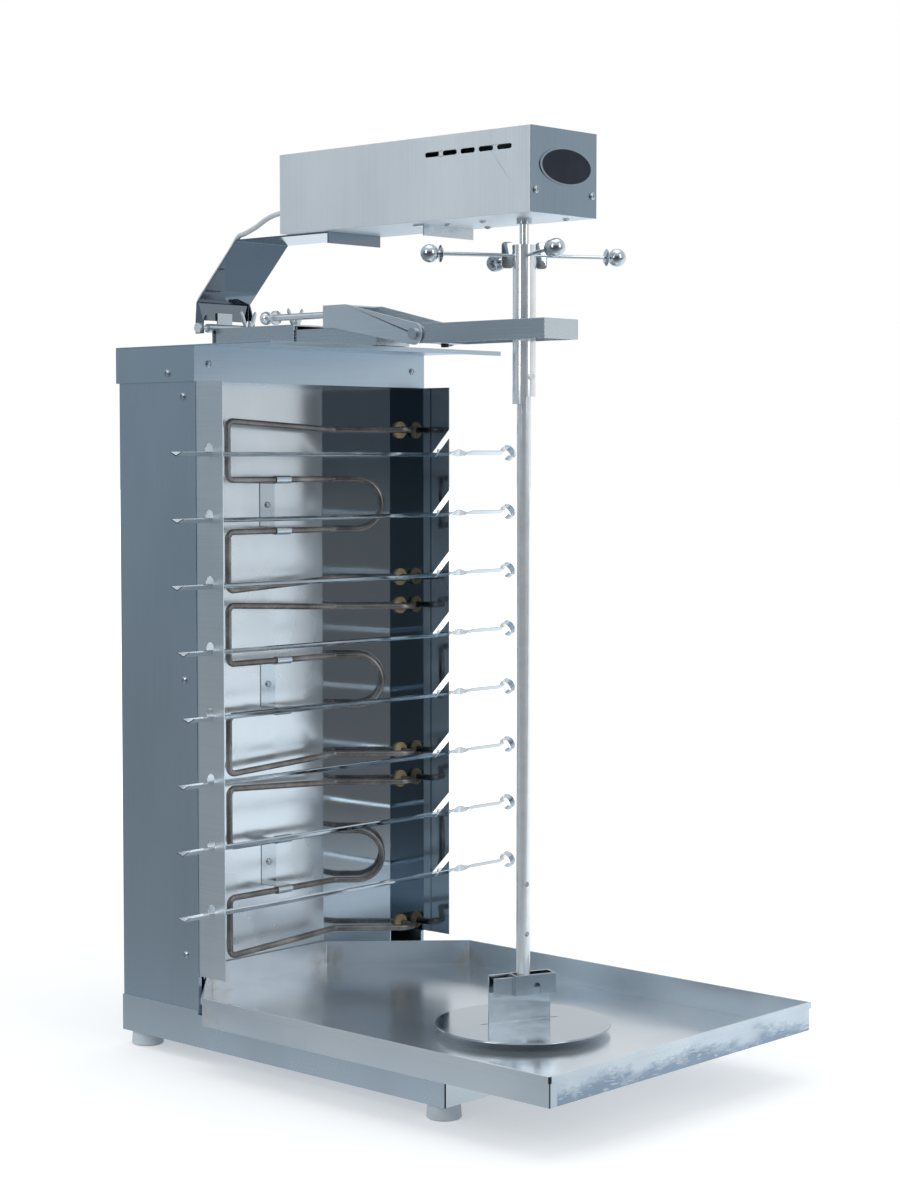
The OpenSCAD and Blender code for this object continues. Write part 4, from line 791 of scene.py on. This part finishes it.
def strip(at):
    """The strip from the pressed end through the twist and the neck round the ring."""
    stations = [(BLADE_END - STRIP_W, 0, 0), (BLADE_END, 0, 0)]
    stations += [(BLADE_END + SKEWER_TWIST_L * k / TWIST_SLICES, 0, SKEWER_TWIST * k / TWIST_SLICES)
        for k in range(1, TWIST_SLICES + 1)]
    ring_x = CAB_HALF + RING_REACH
    stations += [(ring_x - RING_R * a, RING_R * b, SKEWER_TWIST) for a, b in NECK]
    angles = [math.radians(a) for a in range(150, -136, -5)]
    stations += [(ring_x + RING_R * math.cos(a), RING_R * math.sin(a), SKEWER_TWIST) for a in angles]
    axis = Vector((0, 0, SKEWER_LEG / math.sqrt(2)))
    rings = []
    w, t, e = STRIP_W / 2, STRIP_T / 2, STRIP_EASE
    section = [(t, w - e), (t - e, w), (-t + e, w), (-t, w - e), (-t, e - w), (e - t, -w), (t - e, -w),
        (t, e - w)]
    for i, (x, y, roll) in enumerate(stations):
        ahead, behind = stations[min(i + 1, len(stations) - 1)], stations[max(i - 1, 0)]
        d = Vector((ahead[0] - behind[0], ahead[1] - behind[1])).normalized()
        rings.append([at + axis + turned(x - c * d.y, y + c * d.x, z, roll) for c, z in section])
    return loft(rings)


for i in range(8):
    name = f"skewer_{i + 1}"
    tip_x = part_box(name)[0].x - MIDDLE_X
    fold_z = min(v.co.z for v in NODES[name].data.vertices if v.co.x < MIDDLE_X)
    at = Vector((MIDDLE_X, FRONT_Y - SKEWER_AHEAD, fold_z))
    add_piece(name + "_bright", *join([blade(tip_x, at), strip(at)]), skewer_steel, name + "_body",
        "bright_steel", name)


# Rounded edges on folded and cut sheet, as the maker leaves them: radius, and the nodes that have it

EASE_ANGLE = math.radians(30)
EASED = {
    0.0004: ["base_plinth", "top_cap", "left_side_panel", "right_side_panel", "head_casing",
        "head_front_plate", "drip_tray", "visor", "fork_arm", "carriage_arm", "slide_channel",
        "rear_bracket"],
    0.0003: ["meat_plate"],
}


def ease_edges(name, width):
    """Rounds a node's edges with modifiers, once its doubled vertices are welded."""
    node = NODES[name]
    weld = node.modifiers.new("weld", "WELD")
    weld.merge_threshold = 1e-6
    bevel = node.modifiers.new("ease", "BEVEL")
    bevel.width = width
    bevel.segments = 2
    bevel.limit_method = "ANGLE"
    bevel.angle_limit = EASE_ANGLE
    bevel.harden_normals = True


for width, names in EASED.items():
    for name in names:
        ease_edges(name, width)


# Floor, light and camera

FLOOR_HALF = 40
WHITE = (1, 1, 1, 1)
# To the camera the floor's own white grows with the distance from the grill, between two distances
FLOOR_COLOUR = (0.8, 0.8, 0.8, 1)
FLOOR_WHITE, FLOOR_WHITE_AT = (0.36, 1.0), (0.8, 3.0)
# In metal the floor is paler along FLOOR_GLOW and darker on the camera's side, by places along AWAY
FLOOR_GLOW = tuple(0.35 * r + 0.15 * a for r, a in zip(RIGHTWARD, AWAY))
FLOOR_PALER, FLOOR_PALER_AT = (0.22, 1.0), (-0.3, 0.4)
FLOOR_FARTHER, FLOOR_FARTHER_AT = (0.2, 1.0), (-1.6, -0.4)
FLOOR_MIRRORED, FLOOR_MIRROR_SHARE = (0.88, 0.98, 1.06, 1), 0.88
# The studio's walls by direction, its ceiling, and the blue of its darker parts
WALL_LEAST, WALL_AWAY, WALL_AWAY_POWER = 0.06, 0.66, 1.3
WALL_RIGHT, WALL_RIGHT_AT = 0.42, (0.1, 0.95)
CEILING, CEILING_AT = 0.75, (0.15, 0.7)
DUSK, DUSK_AT = (0.80, 1.0, 1.18, 1), (0.3, 0.8)
# Place, target, size and power of each lamp
LAMPS = {
    "left_box": ((-2.7, 0.1, 1.7), (0, 0, 0.7), (0.9, 1.8), 11),
    "right_box": ((-0.1, -2.7, 1.7), (0, 0, 0.7), (0.9, 1.8), 11),
    "top_box": ((0.0, 0.0, 3.2), (0, 0, 0.5), (2.4, 2.4), 16),
}


def make_floor():
    """White floor: it takes the grill's shadow, and metal sees it paler on the side where the light falls."""
    mesh = bpy.data.meshes.new("floor")
    corners = [(x * FLOOR_HALF, y * FLOOR_HALF, 0) for x, y in ((-1, -1), (1, -1), (1, 1), (-1, 1))]
    mesh.from_pydata(corners, [], [(0, 1, 2, 3)])
    floor = bpy.data.objects.new("floor", mesh)
    bpy.context.scene.collection.objects.link(floor)
    material, shader = new_material("floor_white")
    shader.inputs["Base Color"].default_value = FLOOR_COLOUR
    shader.inputs["Roughness"].default_value = 0.9
    shader.inputs["Specular IOR Level"].default_value = 0.1
    g = Graph(material)
    out = [n for n in g.tree.nodes if n.type == "OUTPUT_MATERIAL"][0]
    path = g.add("ShaderNodeLightPath")
    distance = g.add("ShaderNodeVectorMath", operation="LENGTH")
    g.link(g.place, distance.inputs[0])
    white = g.ramp(distance.outputs["Value"], *FLOOR_WHITE, at=FLOOR_WHITE_AT)
    seen = g.math("MULTIPLY", path.outputs["Is Camera Ray"], white)
    paler = g.ramp(g.dot(FLOOR_GLOW), *FLOOR_PALER, at=FLOOR_PALER_AT)
    farther = g.ramp(g.dot(AWAY), *FLOOR_FARTHER, at=FLOOR_FARTHER_AT)
    mirrored = g.math("MULTIPLY", path.outputs["Is Glossy Ray"], g.math("MULTIPLY", paler, farther))
    glow = g.add("ShaderNodeEmission")
    g.link(g.mix(path.outputs["Is Glossy Ray"], WHITE, FLOOR_MIRRORED, "RGBA"), glow.inputs["Color"])
    g.link(g.math("ADD", seen, mirrored), glow.inputs["Strength"])
    lit = g.add("ShaderNodeMixShader")
    g.link(g.math("MULTIPLY", path.outputs["Is Glossy Ray"], FLOOR_MIRROR_SHARE), lit.inputs["Fac"])
    g.link(shader.outputs["BSDF"], lit.inputs[1])
    both = g.add("ShaderNodeAddShader")
    g.link(lit.outputs["Shader"], both.inputs[0])
    g.link(glow.outputs["Emission"], both.inputs[1])
    g.link(both.outputs["Shader"], out.inputs["Surface"])
    mesh.materials.append(material)


def make_world():
    """Studio round the grill: pale behind it, dusky round the camera, and white to the camera itself."""
    world = bpy.data.worlds.new("studio")
    bpy.context.scene.world = world
    world.use_nodes = True
    world.node_tree.nodes.clear()
    g = Graph(world, "Generated")
    out = g.add("ShaderNodeOutputWorld")
    background = g.add("ShaderNodeBackground")
    path = g.add("ShaderNodeLightPath")
    away = g.math("POWER", g.ramp(g.dot(AWAY), 0, 1, at=(-1, 1)), WALL_AWAY_POWER)
    right = g.ramp(g.dot(RIGHTWARD), 0, WALL_RIGHT, at=WALL_RIGHT_AT)
    walls = g.math("ADD", g.math("ADD", g.math("MULTIPLY", away, WALL_AWAY), right), WALL_LEAST)
    overhead = g.ramp(g.dot(UP), 0, 1, at=CEILING_AT)
    light = g.mix(overhead, walls, CEILING)
    g.link(g.mix(path.outputs["Is Camera Ray"], light, 1.0), background.inputs["Strength"])
    tint = g.mix(g.ramp(light, 0, 1, at=DUSK_AT), DUSK, WHITE, "RGBA")
    g.link(g.mix(path.outputs["Is Camera Ray"], tint, WHITE, "RGBA"), background.inputs["Color"])
    g.link(background.outputs["Background"], out.inputs["Surface"])


def area_light(name, at, towards, size, power):
    """A rectangular soft box that faces a point."""
    light = bpy.data.lights.new(name, "AREA")
    light.shape = "RECTANGLE"
    light.size, light.size_y = size
    light.energy = power
    lamp = bpy.data.objects.new(name, light)
    lamp.location = at
    lamp.rotation_euler = (Vector(towards) - Vector(at)).to_track_quat("-Z", "Y").to_euler()
    bpy.context.scene.collection.objects.link(lamp)


def make_camera():
    """The camera as it was solved from the photograph."""
    data = bpy.data.cameras.new("camera")
    data.sensor_fit = "VERTICAL"
    data.sensor_height = SENSOR_H
    data.sensor_width = SENSOR_H
    data.lens = FOCAL_PX / IMAGE_H * SENSOR_H
    camera = bpy.data.objects.new("camera", data)
    a, e = CAMERA_AZIMUTH, CAMERA_ELEVATION
    back = Vector((math.sin(a) * math.cos(e), -math.cos(a) * math.cos(e), math.sin(e)))
    camera.location = CAMERA_AT
    camera.rotation_mode = "QUATERNION"
    camera.rotation_quaternion = (-back).to_track_quat("-Z", "Y")
    bpy.context.scene.collection.objects.link(camera)
    bpy.context.scene.camera = camera


make_floor()
make_world()
for lamp_name, settings in LAMPS.items():
    area_light(lamp_name, *settings)
make_camera()
bpy.context.scene.view_settings.view_transform = "Standard"
